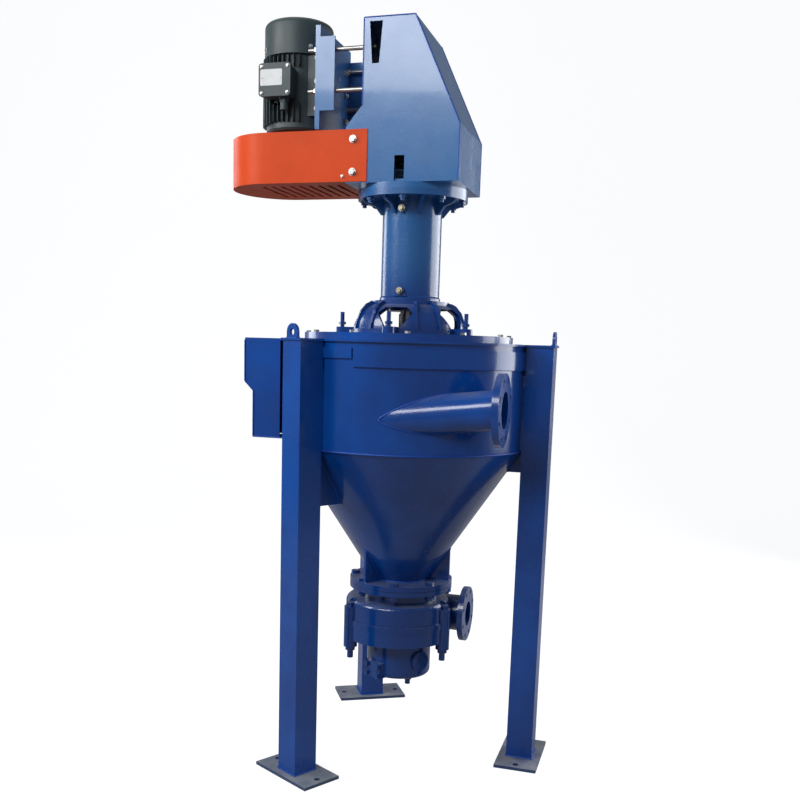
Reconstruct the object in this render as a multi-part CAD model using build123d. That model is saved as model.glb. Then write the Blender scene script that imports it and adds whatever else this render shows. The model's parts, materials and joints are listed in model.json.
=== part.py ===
from build123d import *
import os
from math import acos, asin, atan2, cos, degrees, radians, sin, tan

# Vertical froth pump: a tank on three legs, the pump casing below it, the bearing
# column and the belt drive above it. Millimetres, +Z up. The origin is on the floor
# on the shaft axis. +X is the way the inlet and discharge flanges face, and -X is
# the motor's side.

# Legs and feet
leg_side = 100.0
leg_wall = 6.0
leg_gap = 4.0
leg_angles = {"right": 0.0, "rear": 120.0, "front": 240.0}
foot_length = 298.0
foot_width = 162.0
foot_thickness = 12.0
anchor_offset = 120.0
anchor_hole_r = 11.0
web_thickness = 10.0
web_bottom_z = {"right": 1131.0, "rear": 1131.0, "front": 1006.0}
web_top_below_band = 20.0
lug_width = 60.0
lug_height = 50.0
lug_thickness = 10.0
lug_hole_r = 12.0
lug_inset = 0.0

# Tank
tank_r = 462.0
tank_wall_t = 6.0
tank_bottom_z = 1215.0
tank_top_z = 1602.0
cone_bottom_r = 113.0
cone_bottom_z = 683.0
top_plate_t = 8.0
top_plate_margin = 10.0
top_rim_width = 84.0
band_proud = 8.0
band_top_z = 1582.0
band_height = 65.0
band_gap = 1.0
pad_height = 37.0
band_left_deg = -98.2
pad_gap_deg = 0.7
cover_lap = 22.0
cover_height = 26.0
cover_plate_t = 12.0
cover_lip_t = 14.0
cover_bolt_inset = 11.0
cover_bolt_count = 12

# Overflow box on the motor's side
overflow_front_y = -200.0
overflow_rear_y = 80.0
overflow_reach = 135.0
overflow_step = 36.0
overflow_step_z = 1409.0
overflow_bottom_z = 1231.0
overflow_wall_t = 5.0
overflow_window_height = 90.0
overflow_outlet_r = 42.0

# Inlet: a 125 mm pipe that enters the tank at a tangent and slopes down inwards
inlet_pipe_r = 69.85
inlet_wall = 5.85
inlet_flange_x = 455.0
inlet_axis_z = 1386.0
inlet_slope_deg = 7.0
inlet_flange_r = 125.0
inlet_flange_t = 24.0
inlet_pcd = 210.0
inlet_hole_r = 9.0
flange_hole_count = 8
inlet_tangent_inset = 1.0

# Flanged joint between the tank and the pump casing
outlet_flange_r = 204.0
outlet_flange_t = 19.0
outlet_bore_r = 100.0
outlet_bolt_circle_r = 186.0
outlet_bolt_count = 8
outlet_bolt_first_deg = 7.5
gasket_t = 1.5
cone_rib_t = 10.0
cone_rib_r = 198.0

# Pump casing
casing_flange_t = 18.0
casing_neck_r = 150.0
casing_shift_x = -13.0
casing_shift_y = 8.0
casing_drum_r = 208.0
casing_drum_top_z = 602.0
casing_drum_round = 22.0
casing_rim_r = 214.0
casing_rim_t = 24.0
casing_split_z = 497.0
casing_split_gap = 0.5
casing_lower_z = 440.0
liner_r = 172.0
liner_clearance = 0.3
liner_top_z = 572.0
liner_bottom_z = 462.0
chamber_r = 146.0
chamber_top_z = 558.0
chamber_bottom_z = 492.0
liner_eye_r = 82.0
liner_drain_r = 58.0
casing_bolt_circle_r = 206.0
casing_bolt_degs = (-12.0, -137.0, 68.0, 160.0)
casing_lug_r = 27.0
spot_face_r = 23.0
casing_lug_top_z = 575.0
casing_lug_bottom_z = 411.0

# Sump bowl under the casing
bowl_r = 128.0
bowl_wall = 14.0
bowl_bottom_z = 290.0
bowl_round = 16.0
port_deg = -35.0
port_r = 40.0
port_reach = 138.0
port_z = 362.0
cleanout_deg = -121.0
cleanout_z = 322.0
cleanout_size = 92.0
cleanout_height = 60.0
cleanout_t = 12.0
cleanout_reach = 143.0
cleanout_bolt_spacing = 62.0
cleanout_bolt_rise = 36.0
drain_plug_r = 12.0
drain_plug_length = 54.0
drain_plug_offset = 62.0

# Discharge: a 100 mm branch with its axis off the shaft's axis
discharge_bore_r = 50.0
discharge_bore_length = 90.0
liner_port_r = 44.0
discharge_branch_r = 72.0
discharge_offset_y = 104.0
discharge_z = 527.0
discharge_face_x = 258.0
discharge_flange_r = 110.0
discharge_flange_t = 22.0
branch_clearance = 0.5
discharge_pcd = 180.0
discharge_hole_r = 9.0

# Pump shaft and what turns with it
shaft_r = 35.0
tank_shaft_r = 40.0
tank_shaft_top_z = 1716.0
shaft_top_z = 2338.0
shaft_nose_r = 30.0
shaft_nose_z = 2196.0
shaft_tip_r = 25.0
running_clearance = 0.05
impeller_r = 132.0
impeller_bottom_z = 500.0
impeller_shroud_t = 9.0
impeller_vane_top_z = 552.0
impeller_hub_r = 44.0
impeller_hub_top_z = 560.0
vane_count = 5
vane_t = 11.0
vane_inner_r = 40.0
impeller_nut_height = 22.0

# Bearing pedestal and column
pedestal_base_r = 224.0
pedestal_base_t = 18.0
pedestal_bolt_circle_r = 257.0
pedestal_bolt_count = 5
pedestal_bolt_first_deg = -163.0
pedestal_lug_r = 24.0
pedestal_lug_height = 34.0
pedestal_stud_top_z = 1717.0
pedestal_top_z = 1761.0
pedestal_ring_r = 152.0
pedestal_ring_height = 22.0
pedestal_wall = 14.0
pedestal_foot_r = 216.0
window_count = 5
window_first_deg = -91.0
bell_bulge_r = 192.0
bell_bulge_z = 1716.0
window_half_deg = 19.0
pedestal_rib_t = 12.0
pedestal_bore_r = 92.0
column_r = 112.0
column_bore_r = 90.0
column_flange_r = 207.0
column_flange_t = 22.0
column_top_z = 2153.0
column_flare_z = 2078.0
column_rib_count = 8
grease_boss_deg = -93.5
grease_boss_r = 17.0
grease_boss_proud = 9.0
grease_boss_z = (1797.0, 2094.0)
column_rib_t = 12.0
column_bolt_circle_r = 188.0
column_bolt_count = 8
column_bolt_first_deg = 4.0
column_bolt_tail = 20.0
column_bolt_engagement = 17.0
spigot_depth = 22.0
bearing_outer_r = 75.0
bearing_width = 35.0
bearing_seat_length = 62.0
cap_t = 14.0
cap_r = 104.0
nipple_r = 8.0
nipple_length = 16.0

# Drive bracket
bracket_half_width = 191.0
bracket_plate_t = 8.0
bracket_base_t = 12.0
bracket_ring_t = 21.0
bracket_left_x = -207.0
bracket_right_x = 215.0
bracket_top_left_x = -147.0
bracket_top_right_x = 43.0
bracket_mid_rise = 196.0
bracket_flare_rise = 267.0
bracket_height = 563.0
bracket_base_hole_r = 118.0
view_slot_left_x = -21.0
view_slot_right_x = 16.0
view_slot_height = 92.0
grip_slot_left_x = -125.0
grip_slot_right_x = -77.0
grip_slot_drop = 15.0
grip_slot_height = 141.0
grip_slot_taper = 11.0

# Belt guard
guard_t = 3.0
guard_bottom_z = 2178.0
guard_top_z = 2360.0
guard_end_x = -124.0
guard_arc_x = -530.0
guard_cover_gap = 6.0
guard_slot_half_width = 60.0
guard_slot_travel = 32.0
vent_count = 9
vent_pitch = 38.0
vent_width = 14.0
vent_length = 250.0
guard_bolt_x = -178.0
guard_bolt_z = (2212.0, 2326.0)

# Motor and its sliding plate
motor_x = -470.0
motor_foot_height = 132.0
motor_core_r = 118.0
motor_bore_r = 98.0
motor_fin_r = 136.0
motor_fin_t = 3.0
motor_fin_pitch_deg = 9.0
motor_bottom_z = 2374.0
motor_frame_bottom_z = 2410.0
motor_frame_top_z = 2655.0
motor_cowl_r = 130.5
motor_cowl_t = 2.5
motor_cowl_height = 129.0
motor_cowl_round = 22.0
motor_shield_r = 122.0
motor_shield_t = 12.0
shaft_seal_gap = 1.0
motor_foot_y = 108.0
motor_foot_outer_y = 128.0
motor_foot_width = 54.0
motor_foot_web = 18.0
motor_foot_t = 14.0
motor_foot_bolt_z = (2457.0, 2553.0, 2635.0)
motor_plate_t = 18.0
motor_plate_half_width = 168.0
motor_plate_bottom_z = 2371.0
motor_plate_height = 359.0
stiffener_t = 8.0
stiffener_depth = 56.0
stiffener_bottom_z = 2435.0
stiffener_top_z = 2690.0
stud_r = 8.0
stud_y = 144.5
stud_drop = (229.0, 87.0)
stud_clearance = 0.3
stud_tail = 34.0
terminal_x = -489.0
terminal_width = 126.0
terminal_height = 116.0
terminal_top_z = 2604.0
terminal_base_depth = 46.0
terminal_lid_depth = 16.0
terminal_reach = 192.0
gland_offset = 24.0
gland_r = 15.0
gland_length = 44.0
motor_shaft_r = 19.0
motor_shaft_top_z = 2722.0
rotor_r = 62.0
stator_bore_r = 63.0
stator_length = 150.0
motor_bearing_r = 40.0
motor_bearing_width = 22.0
fan_r = 108.0
fan_blade_count = 7
fan_gap = 29.0
fan_height = 34.0
grille_slot_count = 16

# Belt drive
pump_pulley_r = 115.5
motor_pulley_r = 78.5
groove_depth = 15.0
groove_pitch = 19.0
groove_top_width = 16.4
groove_bottom_width = 7.0
belt_count = 3
belt_clearance = 0.4
belt_sink = 1.0
pulley_edge = 3.0
pulley_hub_r = 52.0
pulley_mid_z = 2300.0
pulley_web_t = 26.0

# Fasteners: shank radius, hexagon corner radius and head height
bolt_m24 = (12.0, 20.8, 15.0)
bolt_m20 = (10.0, 17.3, 13.0)
bolt_m16 = (8.0, 13.9, 10.0)
bolt_m12 = (6.0, 11.0, 8.0)
hole_clearance = 1.0


def tube_between(z_low, z_high, outer_r, inner_r=0.0):
    """Upright cylinder, bored when an inner radius is given."""
    height = z_high - z_low
    body = Pos(0, 0, z_low) * Cylinder(outer_r, height, align=(Align.CENTER, Align.CENTER, Align.MIN))
    if inner_r > 0:
        body -= Pos(0, 0, z_low) * Cylinder(inner_r, height, align=(Align.CENTER, Align.CENTER, Align.MIN))
    return body


def block(x_low, x_high, y_low, y_high, z_low, z_high):
    """Box given by its limits along each axis."""
    size = (x_high - x_low, y_high - y_low, z_high - z_low)
    return Pos(x_low, y_low, z_low) * Box(*size, align=(Align.MIN, Align.MIN, Align.MIN))


def turned(points):
    """Solid of revolution about the Z axis from radius and height points."""
    outline = [(r, 0, z) for r, z in points]
    return revolve(make_face(Polyline(*outline, close=True)), Axis.Z, 360)


def upright_plate(points, thickness):
    """Plate in the radial XZ plane, centred on Y, from radius and height points."""
    face = make_face(Polyline(*[(x, 0, z) for x, z in points], close=True))
    return extrude(face, amount=thickness / 2, dir=(0, 1, 0), both=True)


def side_rod(x, y, z, radius, length, turn_deg=0.0):
    """Level cylinder that starts at a point and runs outwards at an angle about Z."""
    rod = Rot(0, 90, 0) * Cylinder(radius, length, align=(Align.CENTER, Align.CENTER, Align.MIN))
    return Pos(x, y, z) * Rot(0, 0, turn_deg) * rod


def ring_of(shape, radius, count, first_deg=0.0):
    """Copies of a shape, moved out to a circle about the Z axis."""
    step = 360.0 / count
    return [Rot(0, 0, first_deg + i * step) * Pos(radius, 0, 0) * shape for i in range(count)]


def hexagon(corner_r, height):
    """Hexagon prism that stands on z = 0."""
    return extrude(RegularPolygon(corner_r, 6), amount=height)


def bolt_down(size, head_under_z, end_z):
    """Bolt with its head on top, the shank running down to a free end."""
    shank_r, corner_r, head_height = size
    head = Pos(0, 0, head_under_z) * hexagon(corner_r, head_height)
    return head + tube_between(end_z, head_under_z, shank_r)


def nut(size, bottom_z):
    """Hexagon nut that stands on a height, bored just over the shank."""
    shank_r, corner_r, height = size
    body = Pos(0, 0, bottom_z) * hexagon(corner_r, height)
    return body - tube_between(bottom_z, bottom_z + height, shank_r + running_clearance)


def cone_r_at(z):
    """Outer radius of the tank's cone at a height."""
    share = (z - cone_bottom_z) / (tank_bottom_z - cone_bottom_z)
    return cone_bottom_r + share * (tank_r - cone_bottom_r)


def save(name, *solids):
    """Write one sub-part as a STEP file, its pieces kept as separate solids."""
    pieces = []
    for item in solids:
        pieces.extend(item if isinstance(item, list) else [item])
    singles = [s for piece in pieces for s in piece.solids()]
    shape = singles[0] if len(singles) == 1 else Compound(children=singles)
    export_step(shape, f"parts/{name}.step")


# Heights and places that follow from the dimensions above
top_plate_top_z = tank_top_z + top_plate_t
cover_top_z = top_plate_top_z + cover_height
top_opening_r = tank_r - top_rim_width
cover_r = top_opening_r + cover_lap
leg_circle_r = tank_r + leg_gap + leg_side / 2
leg_inner_x = leg_circle_r - leg_side / 2
leg_outer_x = leg_circle_r + leg_side / 2
outlet_flange_bottom_z = cone_bottom_z - outlet_flange_t
casing_flange_top_z = outlet_flange_bottom_z - gasket_t
casing_flange_bottom_z = casing_flange_top_z - casing_flange_t
lower_rim_top_z = casing_split_z - casing_split_gap
pedestal_base_top_z = cover_top_z + pedestal_base_t
pedestal_lug_top_z = cover_top_z + pedestal_lug_height
column_bottom_z = pedestal_top_z
column_flange_bottom_z = column_top_z - column_flange_t
bracket_foot_z = column_top_z + bracket_ring_t
bracket_base_top_z = bracket_foot_z + bracket_base_t
bracket_mid_z = bracket_foot_z + bracket_mid_rise
bracket_flare_z = bracket_foot_z + bracket_flare_rise
bracket_top_z = bracket_foot_z + bracket_height
grip_slot_top_z = bracket_top_z - grip_slot_drop
grip_slot_bottom_z = grip_slot_top_z - grip_slot_height
stud_z = tuple(bracket_top_z - drop for drop in stud_drop)
motor_cowl_top_z = motor_frame_top_z + motor_cowl_height
motor_plate_top_z = motor_plate_bottom_z + motor_plate_height
fan_bottom_z = motor_frame_top_z + fan_gap
bracket_inner_y = bracket_half_width - bracket_plate_t
motor_plate_face_x = motor_x + motor_foot_height
motor_plate_back_x = motor_plate_face_x + motor_plate_t
inlet_axis_y = -(tank_r - inlet_pipe_r - inlet_tangent_inset)
belt_stack = belt_count * groove_pitch


def leg(angle):
    """Square tube from the foot plate up to the underside of the tank's top plate."""
    height = tank_top_z - foot_thickness
    outer = Box(leg_side, leg_side, height, align=(Align.CENTER, Align.CENTER, Align.MIN))
    inner_side = leg_side - 2 * leg_wall
    inner = Box(inner_side, inner_side, height, align=(Align.CENTER, Align.CENTER, Align.MIN))
    return Rot(0, 0, angle) * Pos(leg_circle_r, 0, foot_thickness) * (outer - inner)


def foot_plate(angle):
    """Floor plate with one anchor hole near each end."""
    plate = Pos(leg_circle_r, 0, 0) * Box(
        foot_width, foot_length, foot_thickness, align=(Align.CENTER, Align.CENTER, Align.MIN)
    )
    for side in (-1, 1):
        plate -= Pos(leg_circle_r, side * anchor_offset, 0) * tube_between(0, foot_thickness, anchor_hole_r)
    return Rot(0, 0, angle) * plate


def leg_web(angle, bottom_z):
    """Plate on edge and doubler pad that join a leg's inner face to the tank."""
    top_z = band_top_z - band_height - web_top_below_band
    outline = [
        (leg_inner_x, bottom_z),
        (cone_r_at(bottom_z), bottom_z),
        (tank_r, tank_bottom_z),
        (tank_r, top_z),
        (leg_inner_x, top_z),
    ]
    web = upright_plate(outline, web_thickness)
    half = leg_side / 2
    pad = block(tank_r - web_thickness, leg_inner_x, -half, half, tank_bottom_z, top_z)
    web += pad - tube_between(tank_bottom_z, top_z, tank_r)
    return Rot(0, 0, angle) * web


def lifting_lug(angle):
    """Eye plate on the top plate over each leg."""
    face_x = leg_outer_x - lug_inset - lug_thickness
    hole_z = lug_height - lug_width / 2
    plate = side_rod(0, 0, hole_z, lug_width / 2, lug_thickness)
    plate += block(0, lug_thickness, -lug_width / 2, lug_width / 2, 0, hole_z)
    plate &= block(0, lug_thickness, -lug_width, lug_width, 0, lug_height)
    plate -= side_rod(0, 0, hole_z, lug_hole_r, lug_thickness)
    return Rot(0, 0, angle) * Pos(face_x, 0, top_plate_top_z) * plate


def band_arc(start_deg, end_deg, height):
    """Flat-bar ring segment round the tank below the top plate."""
    sweep_deg = end_deg - start_deg
    low_z = band_top_z - height
    section = make_face(
        Polyline(
            (tank_r - 1, 0, low_z),
            (tank_r + band_proud, 0, low_z),
            (tank_r + band_proud, 0, band_top_z),
            (tank_r - 1, 0, band_top_z),
            close=True,
        )
    )
    return Rot(0, 0, start_deg) * revolve(section, Axis.Z, sweep_deg)


def leg_clear_deg():
    """Half the angle that a leg takes up on the band's circle."""
    return degrees(atan2(leg_side / 2 + band_gap, tank_r))


def tank_bands():
    """Stiffening bands: full height between most legs, a low pad beside the front leg."""
    half = leg_clear_deg()
    rear_deg = degrees(asin((overflow_rear_y + band_gap) / tank_r))
    front_deg = degrees(asin((-overflow_front_y + band_gap) / tank_r))
    pieces = [band_arc(band_left_deg, -half, band_height)]
    pieces.append(band_arc(240 - 360 + half, band_left_deg - pad_gap_deg, pad_height))
    pieces.append(band_arc(half, 120 - half, band_height))
    pieces.append(band_arc(120 + half, 180 - rear_deg, band_height))
    pieces.append(band_arc(180 + front_deg, 240 - half, band_height))
    return pieces


def overflow_outline(inset):
    """Side view of the overflow box, moved in by the wall thickness for its hollow."""
    outer_x = -(tank_r + overflow_reach) + inset
    step_x = outer_x + overflow_step
    root_x = -(tank_r - 2 * tank_wall_t)
    return [
        (root_x, tank_top_z),
        (outer_x, tank_top_z),
        (outer_x, overflow_step_z + overflow_step + inset * 0.4),
        (step_x, overflow_step_z + inset * 0.4),
        (step_x, overflow_bottom_z + inset),
        (root_x, overflow_bottom_z + inset),
    ]


def overflow_box():
    """Launder box welded to the tank wall on the motor's side, with an outlet in its floor."""
    middle_y = (overflow_front_y + overflow_rear_y) / 2
    width = overflow_rear_y - overflow_front_y
    outer = upright_plate(overflow_outline(0.0), width)
    hollow = upright_plate(overflow_outline(overflow_wall_t), width - 2 * overflow_wall_t)
    shell = Pos(0, middle_y, 0) * (outer - hollow)
    shell -= tube_between(overflow_bottom_z, tank_top_z, tank_r)
    outlet_x = -(tank_r + overflow_reach) + overflow_step + 2 * overflow_wall_t + overflow_outlet_r
    drill = tube_between(overflow_bottom_z, overflow_bottom_z + overflow_wall_t, overflow_outlet_r)
    return shell - Pos(outlet_x, middle_y, 0) * drill


def inlet_bar(radius, length):
    """Bar along the sloping inlet pipe, from the flange's back face inwards."""
    back_x = inlet_flange_x - inlet_flange_t
    bar = Rot(0, -90 - inlet_slope_deg, 0) * Cylinder(
        radius, length, align=(Align.CENTER, Align.CENTER, Align.MIN)
    )
    return Pos(back_x, inlet_axis_y, inlet_axis_z) * bar


def inlet_far_side():
    """Space past the shaft's axis, where the inlet pipe has ended."""
    return block(-2 * tank_r, 0, -2 * tank_r, 2 * tank_r, 0, tank_top_z)


def tank_wall():
    """Rolled shell with its bands, the inlet's opening and the overflow window."""
    shell = tube_between(tank_bottom_z, tank_top_z, tank_r, tank_r - tank_wall_t)
    for piece in tank_bands():
        shell += piece
    shell -= inlet_bar(inlet_pipe_r, 2 * tank_r) - inlet_far_side()
    window_low = tank_top_z - overflow_window_height
    side = 3 * overflow_wall_t
    low_y = overflow_front_y + side
    shell -= block(-tank_r - band_proud, 0, low_y, overflow_rear_y - side, window_low, tank_top_z)
    return shell


def inlet_pipe():
    """Sloping pipe and its vertical drilled flange, welded together."""
    back_x = inlet_flange_x - inlet_flange_t
    bore_r = inlet_pipe_r - inlet_wall
    pipe = inlet_bar(inlet_pipe_r, 2 * tank_r)
    stub = Pos(back_x, inlet_axis_y, inlet_axis_z) * Sphere(inlet_pipe_r)
    pipe += stub & block(back_x - inlet_pipe_r, back_x, -2 * tank_r, 0, 0, tank_top_z)
    pipe -= inlet_far_side()
    pipe -= tube_between(0, tank_top_z, tank_r - tank_wall_t)
    flange = side_rod(back_x, inlet_axis_y, inlet_axis_z, inlet_flange_r, inlet_flange_t)
    body = pipe + flange
    body -= block(inlet_flange_x, 2 * inlet_flange_x, -2 * tank_r, 0, 0, tank_top_z)
    body -= side_rod(back_x, inlet_axis_y, inlet_axis_z, bore_r, inlet_flange_t)
    body -= Pos(back_x, inlet_axis_y, inlet_axis_z) * Sphere(bore_r)
    body -= inlet_bar(bore_r, 2 * tank_r)
    for i in range(flange_hole_count):
        turn = radians((i + 0.5) * 360 / flange_hole_count)
        y = inlet_axis_y + inlet_pcd / 2 * cos(turn)
        z = inlet_axis_z + inlet_pcd / 2 * sin(turn)
        body -= side_rod(back_x, y, z, inlet_hole_r, inlet_flange_t)
    return body


def tank_cone():
    """Conical bottom of the tank."""
    return turned(
        [
            (cone_bottom_r, cone_bottom_z),
            (tank_r, tank_bottom_z),
            (tank_r - tank_wall_t, tank_bottom_z),
            (cone_bottom_r - tank_wall_t, cone_bottom_z),
        ]
    )


def top_plate():
    """Flat rim plate that also caps the legs and the overflow box."""
    plate = tube_between(tank_top_z, top_plate_top_z, tank_r + top_plate_margin, top_opening_r)
    half = leg_side / 2 + 6
    for angle in leg_angles.values():
        cap = block(tank_r - band_proud, leg_outer_x + 6, -half, half, tank_top_z, top_plate_top_z)
        plate += Rot(0, 0, angle) * cap
    outer_x = -(tank_r + overflow_reach)
    plate += block(
        outer_x, -tank_r + 6 * band_proud, overflow_front_y, overflow_rear_y, tank_top_z, top_plate_top_z
    )
    drill = Cylinder(bolt_m12[0], 4 * top_plate_t)
    for copy in ring_of(drill, cover_r - cover_bolt_inset, cover_bolt_count, 15):
        plate -= Pos(0, 0, top_plate_top_z) * copy
    return plate


def cover():
    """Lipped cover that carries the bearing pedestal over the open tank."""
    lid = turned(
        [
            (pedestal_bore_r, cover_top_z),
            (cover_r, cover_top_z),
            (cover_r, top_plate_top_z),
            (top_opening_r - cover_lip_t, top_plate_top_z),
            (top_opening_r - cover_lip_t, cover_top_z - cover_plate_t),
            (pedestal_bore_r, cover_top_z - cover_plate_t),
        ]
    )
    drill = tube_between(top_plate_top_z, cover_top_z, bolt_m12[0] + hole_clearance)
    for copy in ring_of(drill, cover_r - cover_bolt_inset, cover_bolt_count, 15):
        lid -= copy
    drill = tube_between(cover_top_z - cover_plate_t, cover_top_z, bolt_m16[0] + hole_clearance)
    for copy in ring_of(drill, pedestal_bolt_circle_r, pedestal_bolt_count, pedestal_bolt_first_deg):
        lid -= copy
    return lid


def outlet_flange():
    """Flange welded to the small end of the cone."""
    ring = tube_between(outlet_flange_bottom_z, cone_bottom_z, outlet_flange_r, outlet_bore_r)
    drill = tube_between(outlet_flange_bottom_z, cone_bottom_z, bolt_m20[0] + hole_clearance)
    for copy in ring_of(drill, outlet_bolt_circle_r, outlet_bolt_count, outlet_bolt_first_deg):
        ring -= copy
    return ring


def cone_rib(angle):
    """Gusset between the outlet flange and the cone, in line with a leg."""
    rib_top_z = cone_bottom_z + (cone_rib_r - cone_bottom_r) / (tank_r - cone_bottom_r) * (
        tank_bottom_z - cone_bottom_z
    )
    outline = [(cone_bottom_r, cone_bottom_z), (cone_rib_r, cone_bottom_z), (cone_rib_r, rib_top_z)]
    return Rot(0, 0, angle) * upright_plate(outline, cone_rib_t)


def discharge_bar(radius, start_x, end_x):
    """Level bar along the discharge axis."""
    return side_rod(start_x, discharge_offset_y, discharge_z, radius, end_x - start_x)


def casing_tube(z_low, z_high, outer_r):
    """Upright cylinder about the volute's own centre, which is off the shaft's axis."""
    return Pos(casing_shift_x, casing_shift_y, 0) * tube_between(z_low, z_high, outer_r)


def at_casing_bolts(shape):
    """Copies of a shape at each of the casing's long bolts."""
    centre = Pos(casing_shift_x, casing_shift_y, 0)
    return [centre * Rot(0, 0, angle) * Pos(casing_bolt_circle_r, 0, 0) * shape for angle in casing_bolt_degs]


def bolt_holes(low_z, high_z):
    """Clearance holes for the casing's long bolts."""
    return at_casing_bolts(tube_between(low_z, high_z, bolt_m24[0] + hole_clearance))


def casing_upper():
    """Upper casing half: flange, neck, drum, rim, lugs and the discharge branch."""
    body = tube_between(casing_drum_top_z, casing_flange_top_z, casing_neck_r)
    drum = casing_tube(casing_split_z, casing_drum_top_z, casing_drum_r)
    drum = fillet(drum.edges().group_by(Axis.Z)[-1], casing_drum_round)
    body += drum
    body += tube_between(casing_flange_bottom_z, casing_flange_top_z, outlet_flange_r)
    body += casing_tube(casing_split_z, casing_split_z + casing_rim_t, casing_rim_r)
    for lug in at_casing_bolts(tube_between(casing_split_z, casing_lug_top_z, casing_lug_r)):
        body += lug
    for pocket in at_casing_bolts(tube_between(casing_lug_top_z, casing_drum_top_z, spot_face_r)):
        body -= pocket
    branch = discharge_bar(discharge_branch_r, discharge_offset_y, discharge_face_x)
    branch += discharge_bar(discharge_flange_r, discharge_face_x - discharge_flange_t, discharge_face_x)
    body += branch
    body -= tube_between(casing_lower_z, liner_top_z + liner_clearance, liner_r + liner_clearance)
    body -= tube_between(liner_top_z, casing_flange_top_z, outlet_bore_r)
    body -= discharge_bar(liner_port_r, 0, discharge_face_x)
    body -= discharge_bar(discharge_bore_r, discharge_face_x - discharge_bore_length, discharge_face_x)
    for hole in bolt_holes(casing_split_z, casing_lug_top_z):
        body -= hole
    drill = tube_between(casing_flange_bottom_z, casing_flange_top_z, bolt_m20[0] + hole_clearance)
    for copy in ring_of(drill, outlet_bolt_circle_r, outlet_bolt_count, outlet_bolt_first_deg):
        body -= copy
    for i in range(flange_hole_count):
        turn = radians((i + 0.5) * 360 / flange_hole_count)
        y = discharge_offset_y + discharge_pcd / 2 * cos(turn)
        z = discharge_z + discharge_pcd / 2 * sin(turn)
        body -= side_rod(discharge_face_x - discharge_flange_t, y, z, discharge_hole_r, discharge_flange_t)
    return body


def casing_lower():
    """Lower casing half with its lugs and the sump bowl."""
    body = casing_tube(casing_lower_z, lower_rim_top_z, casing_rim_r - 2)
    for lug in at_casing_bolts(tube_between(casing_lug_bottom_z, lower_rim_top_z, casing_lug_r)):
        body += lug
    bowl = tube_between(bowl_bottom_z, casing_lower_z, bowl_r)
    body += fillet(bowl.edges().group_by(Axis.Z)[0], bowl_round)
    body += Rot(0, 0, port_deg) * side_rod(0, 0, port_z, port_r, port_reach)
    half = cleanout_size / 2
    low_z = cleanout_z - cleanout_height / 2
    seat = block(0, cleanout_reach - cleanout_t, -half, half, low_z, low_z + cleanout_height)
    body += Rot(0, 0, cleanout_deg) * seat
    body -= tube_between(liner_bottom_z - liner_clearance, lower_rim_top_z, liner_r + liner_clearance)
    body -= tube_between(bowl_bottom_z + bowl_wall, lower_rim_top_z, bowl_r - bowl_wall)
    notch_r = discharge_branch_r + branch_clearance
    body -= discharge_bar(notch_r, discharge_offset_y, discharge_face_x)
    for hole in bolt_holes(casing_lug_bottom_z, lower_rim_top_z):
        body -= hole
    plug_hole = tube_between(bowl_bottom_z, bowl_bottom_z + bowl_wall, drain_plug_r)
    body -= Rot(0, 0, port_deg) * Pos(drain_plug_offset, 0, 0) * plug_hole
    return body


def volute_liner():
    """Wear liner that forms the pumping chamber round the impeller."""
    liner = tube_between(liner_bottom_z, liner_top_z, liner_r)
    liner -= tube_between(chamber_bottom_z, chamber_top_z, chamber_r)
    liner -= tube_between(chamber_top_z, liner_top_z, liner_eye_r)
    liner -= tube_between(liner_bottom_z, chamber_bottom_z, liner_drain_r)
    liner -= discharge_bar(liner_port_r, 0, 2 * liner_r)
    return liner


def drain_plug():
    """Threaded drain plug in the bowl's floor."""
    below = drain_plug_length - bowl_wall
    shank = tube_between(bowl_bottom_z - below / 2, bowl_bottom_z + bowl_wall, drain_plug_r)
    head = Pos(0, 0, bowl_bottom_z - below) * hexagon(0.9 * drain_plug_r, below / 2)
    collar = tube_between(bowl_bottom_z - below / 2, bowl_bottom_z, 1.3 * drain_plug_r)
    return Rot(0, 0, port_deg) * Pos(drain_plug_offset, 0, 0) * (shank + head + collar)


def cleanout_cover():
    """Square blank cover with four bolts on the side of the bowl."""
    half = cleanout_size / 2
    low_z = cleanout_z - cleanout_height / 2
    plate = block(cleanout_reach - cleanout_t, cleanout_reach, -half, half, low_z, low_z + cleanout_height)
    for side in (-1, 1):
        for level in (-1, 1):
            y = side * cleanout_bolt_spacing / 2
            z = cleanout_z + level * cleanout_bolt_rise / 2
            plate += Pos(cleanout_reach, y, z) * Rot(0, 90, 0) * hexagon(bolt_m16[1], bolt_m16[2])
    return Rot(0, 0, cleanout_deg) * plate


def outlet_bolts():
    """Bolts and nuts that join the tank's outlet flange to the casing."""
    size = bolt_m20
    end_z = casing_flange_bottom_z - 1.6 * size[2]
    single = bolt_down(size, cone_bottom_z, end_z)
    bolts = ring_of(single, outlet_bolt_circle_r, outlet_bolt_count, outlet_bolt_first_deg)
    single = nut(size, casing_flange_bottom_z - size[2])
    nuts = ring_of(single, outlet_bolt_circle_r, outlet_bolt_count, outlet_bolt_first_deg)
    return bolts + nuts


def casing_bolts():
    """Long bolts that clamp the two casing halves through their lugs."""
    size = bolt_m24
    end_z = casing_lug_bottom_z - 3.1 * size[2]
    bolts = at_casing_bolts(bolt_down(size, casing_lug_top_z, end_z))
    return bolts + at_casing_bolts(nut(size, casing_lug_bottom_z - size[2]))


def bell_wall(inset):
    """Half section of the pedestal's bell down to the foot, moved in by an inset."""
    ring_low_z = pedestal_top_z - pedestal_ring_height
    top = (pedestal_ring_r - inset, 0, ring_low_z + 8)
    bulge = (bell_bulge_r - 0.8 * inset, 0, bell_bulge_z - 0.6 * inset)
    foot = (pedestal_foot_r - inset, 0, pedestal_base_top_z - 4)
    arc = ThreePointArc(top, bulge, foot)
    sides = Polyline(foot, (pedestal_bore_r, 0, foot[2]), (pedestal_bore_r, 0, top[2]), top)
    return revolve(make_face([arc, sides]), Axis.Z, 360)


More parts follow.
